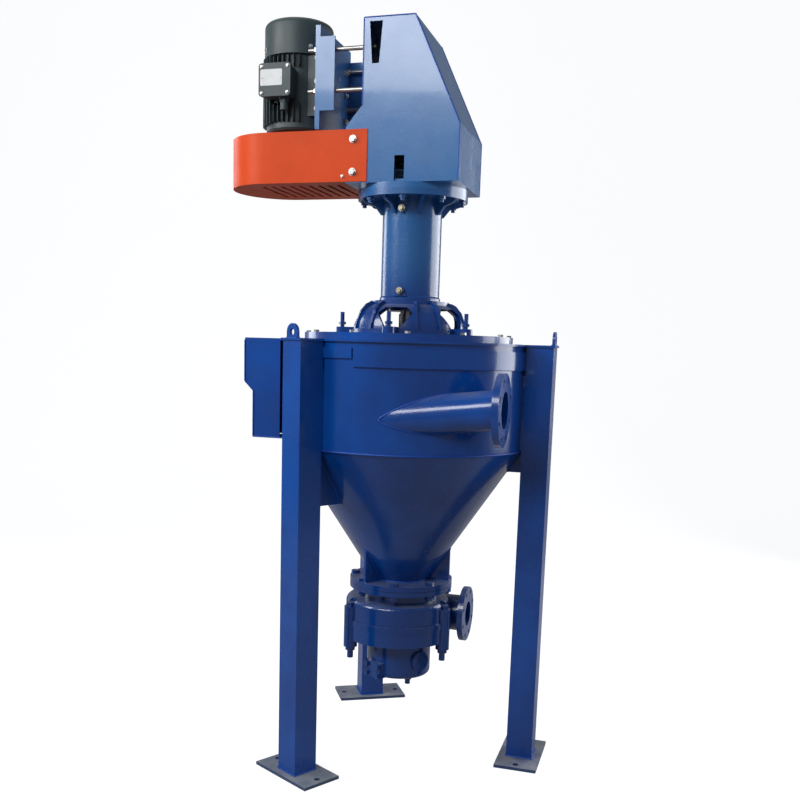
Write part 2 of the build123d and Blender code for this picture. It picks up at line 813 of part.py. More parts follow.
def pedestal():
    """Ribbed bell casting with open windows between the cover and the column."""
    ring_low_z = pedestal_top_z - pedestal_ring_height
    bell = bell_wall(0.0) + tube_between(cover_top_z, pedestal_base_top_z, pedestal_base_r)
    bell -= bell_wall(pedestal_wall)
    for lug in ring_of(
        tube_between(cover_top_z, pedestal_lug_top_z, pedestal_lug_r)
        + block(-50, 0, -pedestal_lug_r, pedestal_lug_r, cover_top_z, pedestal_lug_top_z),
        pedestal_bolt_circle_r,
        pedestal_bolt_count,
        pedestal_bolt_first_deg,
    ):
        bell += lug
    bell -= tube_between(cover_top_z, pedestal_base_top_z, pedestal_foot_r - 1.6 * pedestal_wall)
    bell += tube_between(ring_low_z, pedestal_top_z, pedestal_ring_r)
    low_z = pedestal_base_top_z + 7
    high_z = ring_low_z - 5
    wide = bell_bulge_r * tan(radians(window_half_deg))
    narrow = 0.5 * wide
    round_z = high_z - 22
    opening = make_face(
        Polyline(
            (0, -narrow, low_z),
            (0, narrow, low_z),
            (0, wide, round_z),
            (0, 0.62 * wide, high_z),
            (0, -0.62 * wide, high_z),
            (0, -wide, round_z),
            close=True,
        )
    )
    window = Pos(pedestal_bore_r, 0, 0) * extrude(opening, amount=pedestal_base_r, dir=(1, 0, 0))
    rib_outline = [
        (pedestal_ring_r - 6, pedestal_top_z - 3),
        (pedestal_ring_r + 12, pedestal_top_z - 5),
        (bell_bulge_r - 12, bell_bulge_z + 32),
        (bell_bulge_r + 10, bell_bulge_z + 6),
        (pedestal_foot_r + 8, pedestal_base_top_z + 12),
        (pedestal_foot_r + 10, pedestal_base_top_z - 2),
        (pedestal_foot_r - pedestal_wall, pedestal_base_top_z - 2),
        (bell_bulge_r - 8, bell_bulge_z - 4),
        (pedestal_ring_r - 6, ring_low_z + 2),
    ]
    rib = upright_plate(rib_outline, pedestal_rib_t)
    for i in range(window_count):
        middle = window_first_deg + i * 360 / window_count
        bell -= Rot(0, 0, middle) * window
        for side in (-1, 1):
            bell += Rot(0, 0, middle + side * (window_half_deg + 4.5)) * rib
    drill = tube_between(cover_top_z, pedestal_lug_top_z, bolt_m16[0] + hole_clearance)
    for copy in ring_of(drill, pedestal_bolt_circle_r, pedestal_bolt_count, pedestal_bolt_first_deg):
        bell -= copy
    bell -= tube_between(cover_top_z, pedestal_top_z, pedestal_bore_r + 6)
    return bell


def bearing_column():
    """Bearing housing: bored column with its top flange, ribs and grease pad."""
    column = turned(
        [
            (bearing_outer_r, column_bottom_z - spigot_depth),
            (pedestal_bore_r + 5.9, column_bottom_z - spigot_depth),
            (pedestal_bore_r + 5.9, column_bottom_z),
            (column_r + 4, column_bottom_z),
            (column_r + 4, column_bottom_z + 12),
            (column_r, column_bottom_z + 18),
            (column_r, column_flange_bottom_z),
            (column_flange_r, column_flange_bottom_z),
            (column_flange_r, column_top_z),
            (bearing_outer_r, column_top_z),
            (bearing_outer_r, column_top_z - bearing_seat_length),
            (column_bore_r, column_top_z - bearing_seat_length),
            (column_bore_r, column_bottom_z + bearing_seat_length),
            (bearing_outer_r, column_bottom_z + bearing_seat_length),
        ]
    )
    rib_outline = [
        (column_r - 6, column_flare_z),
        (column_r + 8, column_flare_z),
        (column_r + 32, column_flare_z + 30),
        (column_flange_r - 26, column_flange_bottom_z - 12),
        (column_flange_r - 14, column_flange_bottom_z + 1),
        (column_r - 6, column_flange_bottom_z + 1),
    ]
    rib = upright_plate(rib_outline, column_rib_t)
    for i in range(column_rib_count):
        column += Rot(0, 0, column_bolt_first_deg + (i + 0.5) * 360 / column_rib_count) * rib
    boss_x = column_r - 20
    for z in grease_boss_z:
        boss = side_rod(boss_x, 0, z, grease_boss_r, 20 + grease_boss_proud)
        column += Rot(0, 0, grease_boss_deg) * boss
    low_z = column_bottom_z + 16
    half = 1.5 * grease_boss_r
    tip_z = grease_boss_z[0] + 1.4 * grease_boss_r
    face = make_face(Polyline((0, -half, low_z), (0, half, low_z), (0, 0, tip_z), close=True))
    pointed = Pos(boss_x, 0, 0) * extrude(face, amount=20 + 0.6 * grease_boss_proud, dir=(1, 0, 0))
    column += Rot(0, 0, grease_boss_deg) * pointed
    drill = tube_between(column_flange_bottom_z, column_top_z, bolt_m16[0] + hole_clearance)
    for copy in ring_of(drill, column_bolt_circle_r, column_bolt_count, column_bolt_first_deg):
        column -= copy
    return column


def bearing(low_z):
    """Deep-groove ball bearing with both races and the filled ball space."""
    groove_low = low_z + bearing_width * 0.25
    groove_high = low_z + bearing_width * 0.75
    inner_r = shaft_r + running_clearance
    mid_r = (shaft_r + bearing_outer_r) / 2
    return turned(
        [
            (inner_r, low_z),
            (mid_r - 9, low_z),
            (mid_r - 7, groove_low - 5),
            (mid_r + 7, groove_low - 5),
            (mid_r + 9, low_z),
            (bearing_outer_r, low_z),
            (bearing_outer_r, low_z + bearing_width),
            (mid_r + 9, low_z + bearing_width),
            (mid_r + 7, groove_high + 5),
            (mid_r - 7, groove_high + 5),
            (mid_r - 9, low_z + bearing_width),
            (inner_r, low_z + bearing_width),
        ]
    )


def bearing_cap(low_z, outer_r, upward):
    """End cover with a spigot that holds the bearing in its seat."""
    inner_r = shaft_r + 0.6
    spigot_z = low_z - cap_t if upward else low_z + cap_t
    plate = tube_between(low_z, low_z + cap_t, outer_r, inner_r)
    if upward:
        return plate + tube_between(spigot_z, low_z, bearing_outer_r - 0.2, bearing_outer_r - 12)
    return plate + tube_between(low_z + cap_t, spigot_z + cap_t, bearing_outer_r - 0.2, bearing_outer_r - 12)


def grease_nipples():
    """Grease points at the bottom and the top of the column."""
    seat_x = column_r + grease_boss_proud
    stem = side_rod(seat_x, 0, 0, nipple_r, nipple_length)
    stem += side_rod(seat_x, 0, 0, 1.5 * nipple_r, nipple_length * 0.4)
    return [Rot(0, 0, grease_boss_deg) * Pos(0, 0, z) * stem for z in grease_boss_z]


def pedestal_bolts():
    """Studs and nuts through the pedestal's foot and the tank cover."""
    stud = tube_between(cover_top_z - cover_plate_t, pedestal_stud_top_z, bolt_m16[0])
    studs = ring_of(stud, pedestal_bolt_circle_r, pedestal_bolt_count, pedestal_bolt_first_deg)
    single = nut(bolt_m16, pedestal_lug_top_z)
    return studs + ring_of(single, pedestal_bolt_circle_r, pedestal_bolt_count, pedestal_bolt_first_deg)


def cover_bolts():
    """Small bolts round the rim of the tank cover."""
    shank_r = bolt_m12[0] - running_clearance
    single = bolt_down((shank_r, bolt_m12[1], bolt_m12[2]), cover_top_z, tank_top_z)
    return ring_of(single, cover_r - cover_bolt_inset, cover_bolt_count, 15)


def column_bolts():
    """Studs tapped into the bracket's foot ring, with nuts under the column's flange."""
    end_z = column_flange_bottom_z - column_bolt_tail
    stud = tube_between(end_z, column_top_z + column_bolt_engagement, bolt_m16[0])
    lower = nut(bolt_m16, column_flange_bottom_z - bolt_m16[2])
    studs = ring_of(stud, column_bolt_circle_r, column_bolt_count, column_bolt_first_deg)
    return studs + ring_of(lower, column_bolt_circle_r, column_bolt_count, column_bolt_first_deg)


def bracket_base():
    """Round foot ring and the base plate that fits between the side plates."""
    base = tube_between(column_top_z, bracket_foot_z, column_flange_r)
    high_x = bracket_right_x - bracket_plate_t
    base += block(
        bracket_left_x, high_x, -bracket_inner_y, bracket_inner_y, bracket_foot_z, bracket_base_top_z
    )
    base -= tube_between(column_top_z, bracket_base_top_z, bracket_base_hole_r)
    drill = tube_between(column_top_z, column_top_z + column_bolt_engagement, bolt_m16[0] + running_clearance)
    for copy in ring_of(drill, column_bolt_circle_r, column_bolt_count, column_bolt_first_deg):
        base -= copy
    return base


def bracket_side(side):
    """Profiled side plate with the tapered grip slot and the viewing slot."""
    outline = [
        (bracket_left_x, bracket_foot_z),
        (bracket_right_x, bracket_foot_z),
        (bracket_right_x, bracket_mid_z),
        (bracket_top_right_x, bracket_top_z),
        (bracket_top_left_x, bracket_top_z),
        (bracket_top_left_x, bracket_flare_z),
        (bracket_left_x, bracket_mid_z),
    ]
    plate = upright_plate(outline, bracket_plate_t)
    grip = [
        (grip_slot_left_x, grip_slot_top_z),
        (grip_slot_right_x, grip_slot_top_z),
        (grip_slot_right_x - grip_slot_taper, grip_slot_bottom_z),
        (grip_slot_left_x + grip_slot_taper, grip_slot_bottom_z),
    ]
    plate -= upright_plate(grip, 2 * bracket_plate_t)
    view = [
        (view_slot_left_x, bracket_foot_z),
        (view_slot_right_x, bracket_foot_z),
        (view_slot_right_x, bracket_foot_z + view_slot_height),
        (view_slot_left_x, bracket_foot_z + view_slot_height),
    ]
    plate -= upright_plate(view, 2 * bracket_plate_t)
    plate = Pos(0, side * (bracket_half_width - bracket_plate_t / 2), 0) * plate
    drill = Rot(90, 0, 0) * Cylinder(bolt_m12[0] + hole_clearance, 3 * bracket_half_width)
    for z in guard_bolt_z:
        plate -= Pos(guard_bolt_x, 0, z) * drill
    return plate


def bracket_motor_plate():
    """Upright plate that faces the motor, bored for the tension studs."""
    x_low = bracket_top_left_x
    x_high = x_low + bracket_plate_t
    top_z = bracket_top_z - bracket_plate_t
    plate = block(x_low, x_high, -bracket_inner_y, bracket_inner_y, bracket_mid_z + 6, top_z)
    for y in (-stud_y, stud_y):
        for z in stud_z:
            plate -= side_rod(x_low, y, z, stud_r + running_clearance, bracket_plate_t)
    return plate


def bracket_back_plate():
    """Folded back plate: upright below, sloping up to the narrow top."""
    outline = [
        (bracket_right_x - bracket_plate_t, bracket_foot_z),
        (bracket_right_x, bracket_foot_z),
        (bracket_right_x, bracket_mid_z),
        (bracket_top_right_x, bracket_top_z),
        (bracket_top_right_x - bracket_plate_t, bracket_top_z),
        (bracket_right_x - bracket_plate_t, bracket_mid_z - 2),
    ]
    return upright_plate(outline, 2 * bracket_inner_y)


def bracket_top_plate():
    """Narrow top plate between the side plates."""
    high_x = bracket_top_right_x - bracket_plate_t
    return block(
        bracket_top_left_x,
        high_x,
        -bracket_inner_y,
        bracket_inner_y,
        bracket_top_z - bracket_plate_t,
        bracket_top_z,
    )


def guard_slab(half_width, low_z, high_z, end_x):
    """Flat slab of the guard's plan: straight sides and one half-round end."""
    slab = block(guard_arc_x, end_x, -half_width, half_width, low_z, high_z)
    return slab + Pos(guard_arc_x, 0, 0) * tube_between(low_z, high_z, half_width)


def guard_wall():
    """Rolled guard sheet round the belts, lapped over the bracket's side plates."""
    outer_y = bracket_half_width + guard_t
    wall = guard_slab(outer_y, guard_bottom_z, guard_top_z, guard_end_x)
    wall -= guard_slab(bracket_half_width, guard_bottom_z, guard_top_z, guard_end_x)
    for z in guard_bolt_z:
        wall -= Pos(guard_bolt_x, 0, z) * Rot(90, 0, 0) * Cylinder(bolt_m12[0] + hole_clearance, 3 * outer_y)
    return wall


def guard_lid():
    """Top sheet of the guard with the slot that the motor shaft slides in."""
    end_x = bracket_left_x - guard_cover_gap
    lid = guard_slab(bracket_half_width, guard_top_z - guard_t, guard_top_z, end_x)
    low_x = motor_x - guard_slot_travel
    high_x = motor_x + guard_slot_travel
    half = guard_slot_half_width
    lid -= block(low_x, high_x, -half, half, guard_top_z - guard_t, guard_top_z)
    for x in (low_x, high_x):
        lid -= Pos(x, 0, 0) * tube_between(guard_top_z - guard_t, guard_top_z, half)
    return lid


def guard_floor():
    """Bottom sheet of the guard with its ventilation slots."""
    end_x = bracket_left_x - guard_cover_gap
    floor = guard_slab(bracket_half_width, guard_bottom_z, guard_bottom_z + guard_t, end_x)
    first_x = end_x - vent_pitch
    for i in range(vent_count):
        x = first_x - i * vent_pitch
        floor -= block(
            x - vent_width, x, -vent_length / 2, vent_length / 2, guard_bottom_z, guard_bottom_z + guard_t
        )
    return floor


def guard_bolts():
    """Bolts with washers that hold the guard on the bracket's side plates."""
    shank_r, corner_r, head_height = bolt_m12
    outer_y = bracket_half_width + guard_t
    shank = bracket_plate_t + guard_t + 10
    bolts = []
    for side in (-1, 1):
        for z in guard_bolt_z:
            head = Pos(0, 0, 3) * hexagon(corner_r, head_height)
            washer = tube_between(0, 3, 1.25 * corner_r)
            single = head + washer + tube_between(-shank, 0, shank_r)
            turn = 90 if side < 0 else -90
            bolts.append(Pos(guard_bolt_x, side * outer_y, z) * Rot(turn, 0, 0) * single)
    return bolts


def level_nut(size, x, y, z, bore_r):
    """Hexagon nut on a level stud, from a face outwards along +X."""
    height = size[2]
    body = Pos(x, y, z) * Rot(0, 90, 0) * hexagon(size[1], height)
    return body - side_rod(x, y, z, bore_r, height)


def tension_studs():
    """Threaded studs that carry the motor plate, locked on the bracket by nuts."""
    start_x = motor_plate_face_x - stud_tail
    inner_x = bracket_top_left_x + bracket_plate_t
    length = inner_x + 26 - start_x
    bore_r = stud_r + running_clearance
    pieces = []
    for y in (-stud_y, stud_y):
        for z in stud_z:
            pieces.append(side_rod(start_x, y, z, stud_r, length))
            for x in (bracket_top_left_x - bolt_m16[2], inner_x):
                pieces.append(level_nut(bolt_m16, x, y, z, bore_r))
    return pieces


def plate_nuts():
    """Nuts on both faces of the motor plate that lock it on the studs."""
    nuts = []
    for y in (-stud_y, stud_y):
        for z in stud_z:
            for x in (motor_plate_face_x - bolt_m16[2], motor_plate_back_x):
                nuts.append(level_nut(bolt_m16, x, y, z, stud_r + stud_clearance))
    return nuts


def motor_plate():
    """Sliding plate that the motor's feet are bolted to."""
    plate = block(
        motor_plate_face_x,
        motor_plate_back_x,
        -motor_plate_half_width,
        motor_plate_half_width,
        motor_plate_bottom_z,
        motor_plate_top_z,
    )
    for y in (-stud_y, stud_y):
        for z in stud_z:
            plate -= side_rod(motor_plate_face_x, y, z, stud_r + stud_clearance, motor_plate_t)
    for y in (-motor_foot_y, motor_foot_y):
        for z in motor_foot_bolt_z:
            plate -= side_rod(motor_plate_face_x, y, z, bolt_m12[0] + hole_clearance, motor_plate_t)
    return plate


def plate_stiffeners():
    """Flat bars on edge down both sides of the motor plate's back."""
    bars = []
    outer = motor_plate_half_width
    for low_y, high_y in ((-outer, -outer + stiffener_t), (outer - stiffener_t, outer)):
        bars.append(
            block(
                motor_plate_back_x,
                motor_plate_back_x + stiffener_depth,
                low_y,
                high_y,
                stiffener_bottom_z,
                stiffener_top_z,
            )
        )
    return bars


def motor_frame():
    """Finned motor barrel with its two long feet and the terminal box seat."""
    barrel = tube_between(motor_frame_bottom_z, motor_frame_top_z, motor_core_r)
    length = motor_frame_top_z - motor_frame_bottom_z
    fin = block(motor_core_r - 2, motor_fin_r, -motor_fin_t / 2, motor_fin_t / 2, 0, length)
    fin_count = int(360 / motor_fin_pitch_deg)
    for i in range(fin_count):
        angle = (i + 0.5) * motor_fin_pitch_deg
        near_foot = angle < 62 or angle > 298
        near_box = abs(angle - 270) < 28
        if not near_foot and not near_box:
            barrel += Rot(0, 0, angle) * Pos(0, 0, motor_frame_bottom_z) * fin
    low_z = motor_foot_bolt_z[0] - 20
    high_z = motor_foot_bolt_z[-1] + 16
    inner_y = motor_foot_outer_y - motor_foot_width
    for side in (-1, 1):
        edges = sorted((side * inner_y, side * motor_foot_outer_y))
        barrel += block(motor_foot_height - motor_foot_t, motor_foot_height, *edges, low_z, high_z)
        edges = sorted((side * inner_y, side * (inner_y + motor_foot_web)))
        barrel += block(motor_bore_r / 2, motor_foot_height, *edges, low_z, high_z)
    seat_y = terminal_reach - terminal_base_depth - terminal_lid_depth
    half = terminal_width / 2 - 10
    offset = terminal_x - motor_x
    low_seat_z = terminal_top_z - terminal_height + 10
    barrel += block(offset - half, offset + half, -seat_y, -motor_bore_r / 2, low_seat_z, terminal_top_z - 10)
    barrel -= tube_between(motor_frame_bottom_z, motor_frame_top_z, motor_bore_r)
    for y in (-motor_foot_y, motor_foot_y):
        for z in motor_foot_bolt_z:
            start_x = motor_foot_height - motor_foot_t
            barrel -= side_rod(start_x, y, z, bolt_m12[0] + hole_clearance, motor_foot_t)
    return Pos(motor_x, 0, 0) * barrel


def lower_shield():
    """Drive-end shield: a dished plate with the closed bearing seat."""
    seat_z = motor_bottom_z + 6
    plate = turned(
        [
            (motor_shaft_r + shaft_seal_gap, motor_bottom_z),
            (motor_shield_r - 34, motor_bottom_z),
            (motor_shield_r - 6, motor_frame_bottom_z - 24),
            (motor_shield_r, motor_frame_bottom_z - 16),
            (motor_shield_r, motor_frame_bottom_z),
            (motor_shaft_r + shaft_seal_gap, motor_frame_bottom_z),
        ]
    )
    plate -= tube_between(seat_z, seat_z + motor_bearing_width, motor_bearing_r)
    return Pos(motor_x, 0, 0) * plate


def upper_shield():
    """Fan-end shield: a flat plate with its bearing hub hanging inside."""
    top_z = motor_frame_top_z + motor_shield_t
    plate = tube_between(motor_frame_top_z, top_z, motor_cowl_r - motor_cowl_t)
    plate += tube_between(top_z - motor_bearing_width - 6, top_z, motor_bearing_r + 12)
    plate -= tube_between(0, top_z, motor_shaft_r + shaft_seal_gap)
    plate -= tube_between(top_z - motor_bearing_width, top_z, motor_bearing_r)
    return Pos(motor_x, 0, 0) * plate


def motor_bearings():
    """The motor's two shaft bearings."""
    low = motor_bottom_z + 6
    high = motor_frame_top_z + motor_shield_t - motor_bearing_width
    inner_r = motor_shaft_r + running_clearance
    rings = []
    for z in (low, high):
        rings.append(Pos(motor_x, 0, 0) * tube_between(z, z + motor_bearing_width, motor_bearing_r, inner_r))
    return rings


def motor_stator():
    """Stator core with the winding heads at both ends."""
    mid = (motor_frame_bottom_z + motor_frame_top_z) / 2
    low = mid - stator_length / 2
    high = mid + stator_length / 2
    core = tube_between(low, high, motor_bore_r, stator_bore_r)
    core += tube_between(low - 28, high + 28, motor_bore_r - 8, stator_bore_r + 8)
    return Pos(motor_x, 0, 0) * core


def motor_cowl():
    """Fan cowl with a rounded shoulder and radial air slots in its crown."""
    low_z = motor_frame_top_z
    outer = tube_between(low_z, motor_cowl_top_z, motor_cowl_r)
    outer = fillet(outer.edges().group_by(Axis.Z)[-1], motor_cowl_round)
    inner = tube_between(low_z, motor_cowl_top_z - motor_cowl_t, motor_cowl_r - motor_cowl_t)
    inner = fillet(inner.edges().group_by(Axis.Z)[-1], motor_cowl_round - motor_cowl_t)
    cowl = outer - inner
    slot = block(36, 104, -5, 5, motor_cowl_top_z - 3 * motor_cowl_t, motor_cowl_top_z + motor_cowl_t)
    for i in range(grille_slot_count):
        cowl -= Rot(0, 0, i * 360 / grille_slot_count) * slot
    return Pos(motor_x, 0, 0) * cowl


def terminal_shape(depth, grow):
    """Block of the terminal box with rounded upright edges."""
    width = terminal_width + 2 * grow
    height = terminal_height + 2 * grow
    body = Box(width, depth, height, align=(Align.CENTER, Align.MIN, Align.CENTER))
    return fillet(body.edges().filter_by(Axis.Y), 12)


def terminal_box():
    """Terminal box on the motor's front: base, lid and the cable gland below."""
    z = terminal_top_z - terminal_height / 2
    lid = Pos(terminal_x, -terminal_reach, z) * terminal_shape(terminal_lid_depth, 0)
    base = terminal_shape(terminal_base_depth, -3)
    hollow = (terminal_width - 26, terminal_base_depth - 7, terminal_height - 26)
    base -= Box(*hollow, align=(Align.CENTER, Align.MIN, Align.CENTER))
    base = Pos(terminal_x, -terminal_reach + terminal_lid_depth, z) * base
    top_z = terminal_top_z - terminal_height + 3
    nut_body = Pos(0, 0, top_z - 16) * hexagon(1.3 * gland_r, 16)
    gland = nut_body + tube_between(top_z - gland_length, top_z, gland_r)
    gland_y = -terminal_reach + terminal_lid_depth + terminal_base_depth / 2
    return [lid, base, Pos(terminal_x + gland_offset, gland_y, 0) * gland]


def foot_bolts():
    """Bolts and nuts through the motor's feet and the sliding plate."""
    shank_r, corner_r, head_height = bolt_m12
    length = motor_foot_t + motor_plate_t + 14
    pieces = []
    for y in (-motor_foot_y, motor_foot_y):
        for z in motor_foot_bolt_z:
            start_x = motor_plate_face_x - motor_foot_t
            head = Pos(start_x - head_height, y, z) * Rot(0, 90, 0) * hexagon(corner_r, head_height)
            pieces.append(head + side_rod(start_x, y, z, shank_r, length))
            back = Pos(motor_plate_back_x, y, z) * Rot(0, 90, 0) * hexagon(corner_r, head_height)
            pieces.append(back - side_rod(motor_plate_back_x, y, z, shank_r + running_clearance, head_height))
    return pieces


def motor_rotor():
    """Motor shaft with its rotor core."""
    mid = (motor_frame_bottom_z + motor_frame_top_z) / 2
    half = stator_length / 2
    low_z = pulley_mid_z - belt_stack / 2 - pulley_edge
    body = tube_between(low_z, motor_shaft_top_z, motor_shaft_r)
    body += tube_between(mid - half, mid + half, rotor_r)
    return Pos(motor_x, 0, 0) * body


def motor_fan():
    """Radial cooling fan under the cowl."""
    bore_r = motor_shaft_r + running_clearance
    fan = tube_between(fan_bottom_z, fan_bottom_z + 4, fan_r, bore_r)
    fan += tube_between(fan_bottom_z, fan_bottom_z + fan_height, motor_shaft_r + 14, bore_r)
    blade = block(motor_shaft_r + 10, fan_r, -2, 2, fan_bottom_z, fan_bottom_z + fan_height)
    for i in range(fan_blade_count):
        fan += Rot(0, 0, i * 360 / fan_blade_count) * blade
    return Pos(motor_x, 0, 0) * fan


def pulley(outer_r, bore_r):
    """Grooved V-belt pulley with a recessed web when it is large."""
    low_z = pulley_mid_z - belt_stack / 2 - pulley_edge
    high_z = pulley_mid_z + belt_stack / 2 + pulley_edge
    points = [(bore_r, low_z), (outer_r, low_z)]
    for i in range(belt_count):
        mid = pulley_mid_z + (i - (belt_count - 1) / 2) * groove_pitch
        points.append((outer_r, mid - groove_top_width / 2))
        points.append((outer_r - groove_depth, mid - groove_bottom_width / 2))
        points.append((outer_r - groove_depth, mid + groove_bottom_width / 2))
        points.append((outer_r, mid + groove_top_width / 2))
    points.extend([(outer_r, high_z), (bore_r, high_z)])
    wheel = turned(points)
    rim_r = outer_r - groove_depth - 12
    if rim_r > pulley_hub_r + 20:
        web_low_z = pulley_mid_z - pulley_web_t / 2
        for low, high in ((low_z, web_low_z), (web_low_z + pulley_web_t, high_z)):
            wheel -= tube_between(low, high, rim_r, pulley_hub_r)
    return wheel


def belt():
    """One V-belt round both pulleys, in its groove with a small side clearance."""
    sink = belt_sink
    height = groove_depth - belt_clearance - 3
    big_r = pump_pulley_r - sink
    small_r = motor_pulley_r - sink
    distance = -motor_x
    lean = acos((big_r - small_r) / distance)
    inner_big = big_r - height
    inner_small = small_r - height
    path_big = (big_r + inner_big) / 2
    path_small = (small_r + inner_small) / 2
    start = (path_big * -cos(lean), path_big * sin(lean))
    meet = (motor_x - path_small * cos(lean), path_small * sin(lean))
    upper = Line((start[0], start[1], 0), (meet[0], meet[1], 0))
    small_arc = ThreePointArc((meet[0], meet[1], 0), (motor_x - path_small, 0, 0), (meet[0], -meet[1], 0))
    lower = Line((meet[0], -meet[1], 0), (start[0], -start[1], 0))
    big_arc = ThreePointArc((start[0], -start[1], 0), (path_big, 0, 0), (start[0], start[1], 0))
    route = Wire([upper.edge(), small_arc.edge(), lower.edge(), big_arc.edge()])
    slope = (groove_top_width - groove_bottom_width) / 2 / groove_depth
    top_half = groove_top_width / 2 - slope * sink - belt_clearance
    low_half = top_half - slope * height
    along = (meet[0] - start[0], meet[1] - start[1], 0)
    plane = Plane(origin=(start[0], start[1], 0), x_dir=(0, 0, 1), z_dir=along)
    section = make_face(
        Polyline(
            (-low_half, -height / 2),
            (low_half, -height / 2),
            (top_half, height / 2),
            (-top_half, height / 2),
            close=True,
        )
    )
    return sweep(plane * section, path=route)


def belts():
    """The matched set of V-belts."""
    single = belt()
    return [
        Pos(0, 0, pulley_mid_z + (i - (belt_count - 1) / 2) * groove_pitch) * single
        for i in range(belt_count)
    ]


def pump_shaft():
    """Stepped pump shaft from the drive pulley down to the impeller."""
    tip_z = impeller_bottom_z - impeller_nut_height
    return turned(
        [
            (0, tip_z),
            (shaft_tip_r, tip_z),
            (shaft_tip_r, impeller_hub_top_z),
            (tank_shaft_r, impeller_hub_top_z),
            (tank_shaft_r, tank_shaft_top_z),
            (shaft_r, tank_shaft_top_z),
            (shaft_r, shaft_nose_z),
            (shaft_nose_r, shaft_nose_z),
            (shaft_nose_r, shaft_top_z),
            (0, shaft_top_z),
        ]
    )


def impeller():
    """Open impeller: bottom shroud, hub and backward-curved vanes."""
    bore_r = shaft_tip_r + running_clearance
    wheel = tube_between(impeller_bottom_z, impeller_bottom_z + impeller_shroud_t, impeller_r)
    wheel += tube_between(impeller_bottom_z, impeller_hub_top_z, impeller_hub_r)
    mid_r = (vane_inner_r + impeller_r) / 2
    bow = 24.0
    spine = ThreePointArc((vane_inner_r, 0, 0), (mid_r, bow, 0), (impeller_r - 4, -14, 0))
    outline = make_face(
        Wire(
            [
                ThreePointArc((vane_inner_r, vane_t / 2, 0), (mid_r, bow + vane_t / 2, 0), spine @ 1).edge(),
                Line(spine @ 1, (impeller_r - 8, -14 - vane_t, 0)).edge(),
                ThreePointArc(
                    (impeller_r - 8, -14 - vane_t, 0),
                    (mid_r, bow - vane_t / 2, 0),
                    (vane_inner_r, -vane_t / 2, 0),
                ).edge(),
                Line((vane_inner_r, -vane_t / 2, 0), (vane_inner_r, vane_t / 2, 0)).edge(),
            ]
        )
    )
    vane = Pos(0, 0, impeller_bottom_z) * extrude(outline, amount=impeller_vane_top_z - impeller_bottom_z)
    for i in range(vane_count):
        wheel += Rot(0, 0, i * 360 / vane_count) * vane
    return wheel - tube_between(impeller_bottom_z, impeller_hub_top_z, bore_r)


def impeller_nut():
    """Nut that holds the impeller on the end of the shaft."""
    head = hexagon(1.7 * shaft_tip_r, impeller_nut_height)
    body = Pos(0, 0, impeller_bottom_z - impeller_nut_height) * head
    return body - tube_between(
        impeller_bottom_z - impeller_nut_height, impeller_bottom_z, shaft_tip_r + running_clearance
    )


def main():
    """Build every sub-part and write it out."""
    os.makedirs("parts", exist_ok=True)
    for name, angle in leg_angles.items():
        save(f"leg_{name}", leg(angle))
        save(f"foot_{name}", foot_plate(angle))
    save("leg_webs", [leg_web(angle, web_bottom_z[name]) for name, angle in leg_angles.items()])
    save("lifting_lugs", [lifting_lug(angle) for angle in leg_angles.values()])
    save("tank_wall", tank_wall())
    save("tank_cone", tank_cone())
    save("tank_top_plate", top_plate())
    save("tank_cover", cover())
    save("cover_bolts", cover_bolts())
    save("overflow_box", overflow_box())
    save("inlet_pipe", inlet_pipe())
    save("outlet_flange", outlet_flange())
    save("cone_ribs", [cone_rib(angle) for angle in leg_angles.values()])
    outer_r = outlet_bolt_circle_r - 16
    gasket = tube_between(casing_flange_top_z, outlet_flange_bottom_z, outer_r, outlet_bore_r)
    save("outlet_gasket", gasket)
    save("outlet_bolts", outlet_bolts())
    save("casing_upper", casing_upper())
    save("casing_lower", casing_lower())
    save("casing_bolts", casing_bolts())
    save("volute_liner", volute_liner())
    save("drain_plug", drain_plug())
    save("cleanout_cover", cleanout_cover())
    save("bearing_pedestal", pedestal())
    save("pedestal_bolts", pedestal_bolts())
    save("bearing_column", bearing_column())
    upper_bearing_z = column_top_z - bearing_width - cap_t
    save("shaft_bearings", bearing(column_bottom_z + 4), bearing(upper_bearing_z))
    lower_cap = bearing_cap(column_bottom_z - spigot_depth - cap_t, bearing_outer_r + 12, False)
    save("bearing_caps", lower_cap, bearing_cap(column_top_z, cap_r, True))
    save("grease_nipples", grease_nipples())
    save("column_bolts", column_bolts())
    save("bracket_base", bracket_base())
    save("bracket_side_front", bracket_side(-1))
    save("bracket_side_rear", bracket_side(1))
    save("bracket_motor_plate", bracket_motor_plate())
    save("bracket_back_plate", bracket_back_plate())
    save("bracket_top_plate", bracket_top_plate())
    save("guard_wall", guard_wall())
    save("guard_lid", guard_lid())
    save("guard_floor", guard_floor())
    save("guard_bolts", guard_bolts())
    save("tension_studs", tension_studs())
    save("v_belts", belts())
    save("motor_plate", motor_plate(), plate_stiffeners())
    save("plate_nuts", plate_nuts())
    save("motor_frame", motor_frame())
    save("motor_shields", lower_shield(), upper_shield())
    save("motor_bearings", motor_bearings())
    save("motor_stator", motor_stator())
    save("motor_cowl", motor_cowl())
    save("terminal_box", terminal_box())
    save("foot_bolts", foot_bolts())
    save("motor_rotor", motor_rotor())
    save("motor_fan", motor_fan())
    save("motor_pulley", Pos(motor_x, 0, 0) * pulley(motor_pulley_r, motor_shaft_r + running_clearance))
    save("pump_shaft", pump_shaft())
    save("impeller", impeller())
    save("impeller_nut", impeller_nut())
    save("pump_pulley", pulley(pump_pulley_r, shaft_nose_r + running_clearance))


main()
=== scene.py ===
import json
import math

import bmesh
import bpy
from bpy.props import FloatProperty, FloatVectorProperty, IntProperty, PointerProperty
from bpy.types import Operator, Panel, PropertyGroup
from mathutils import Matrix, Vector


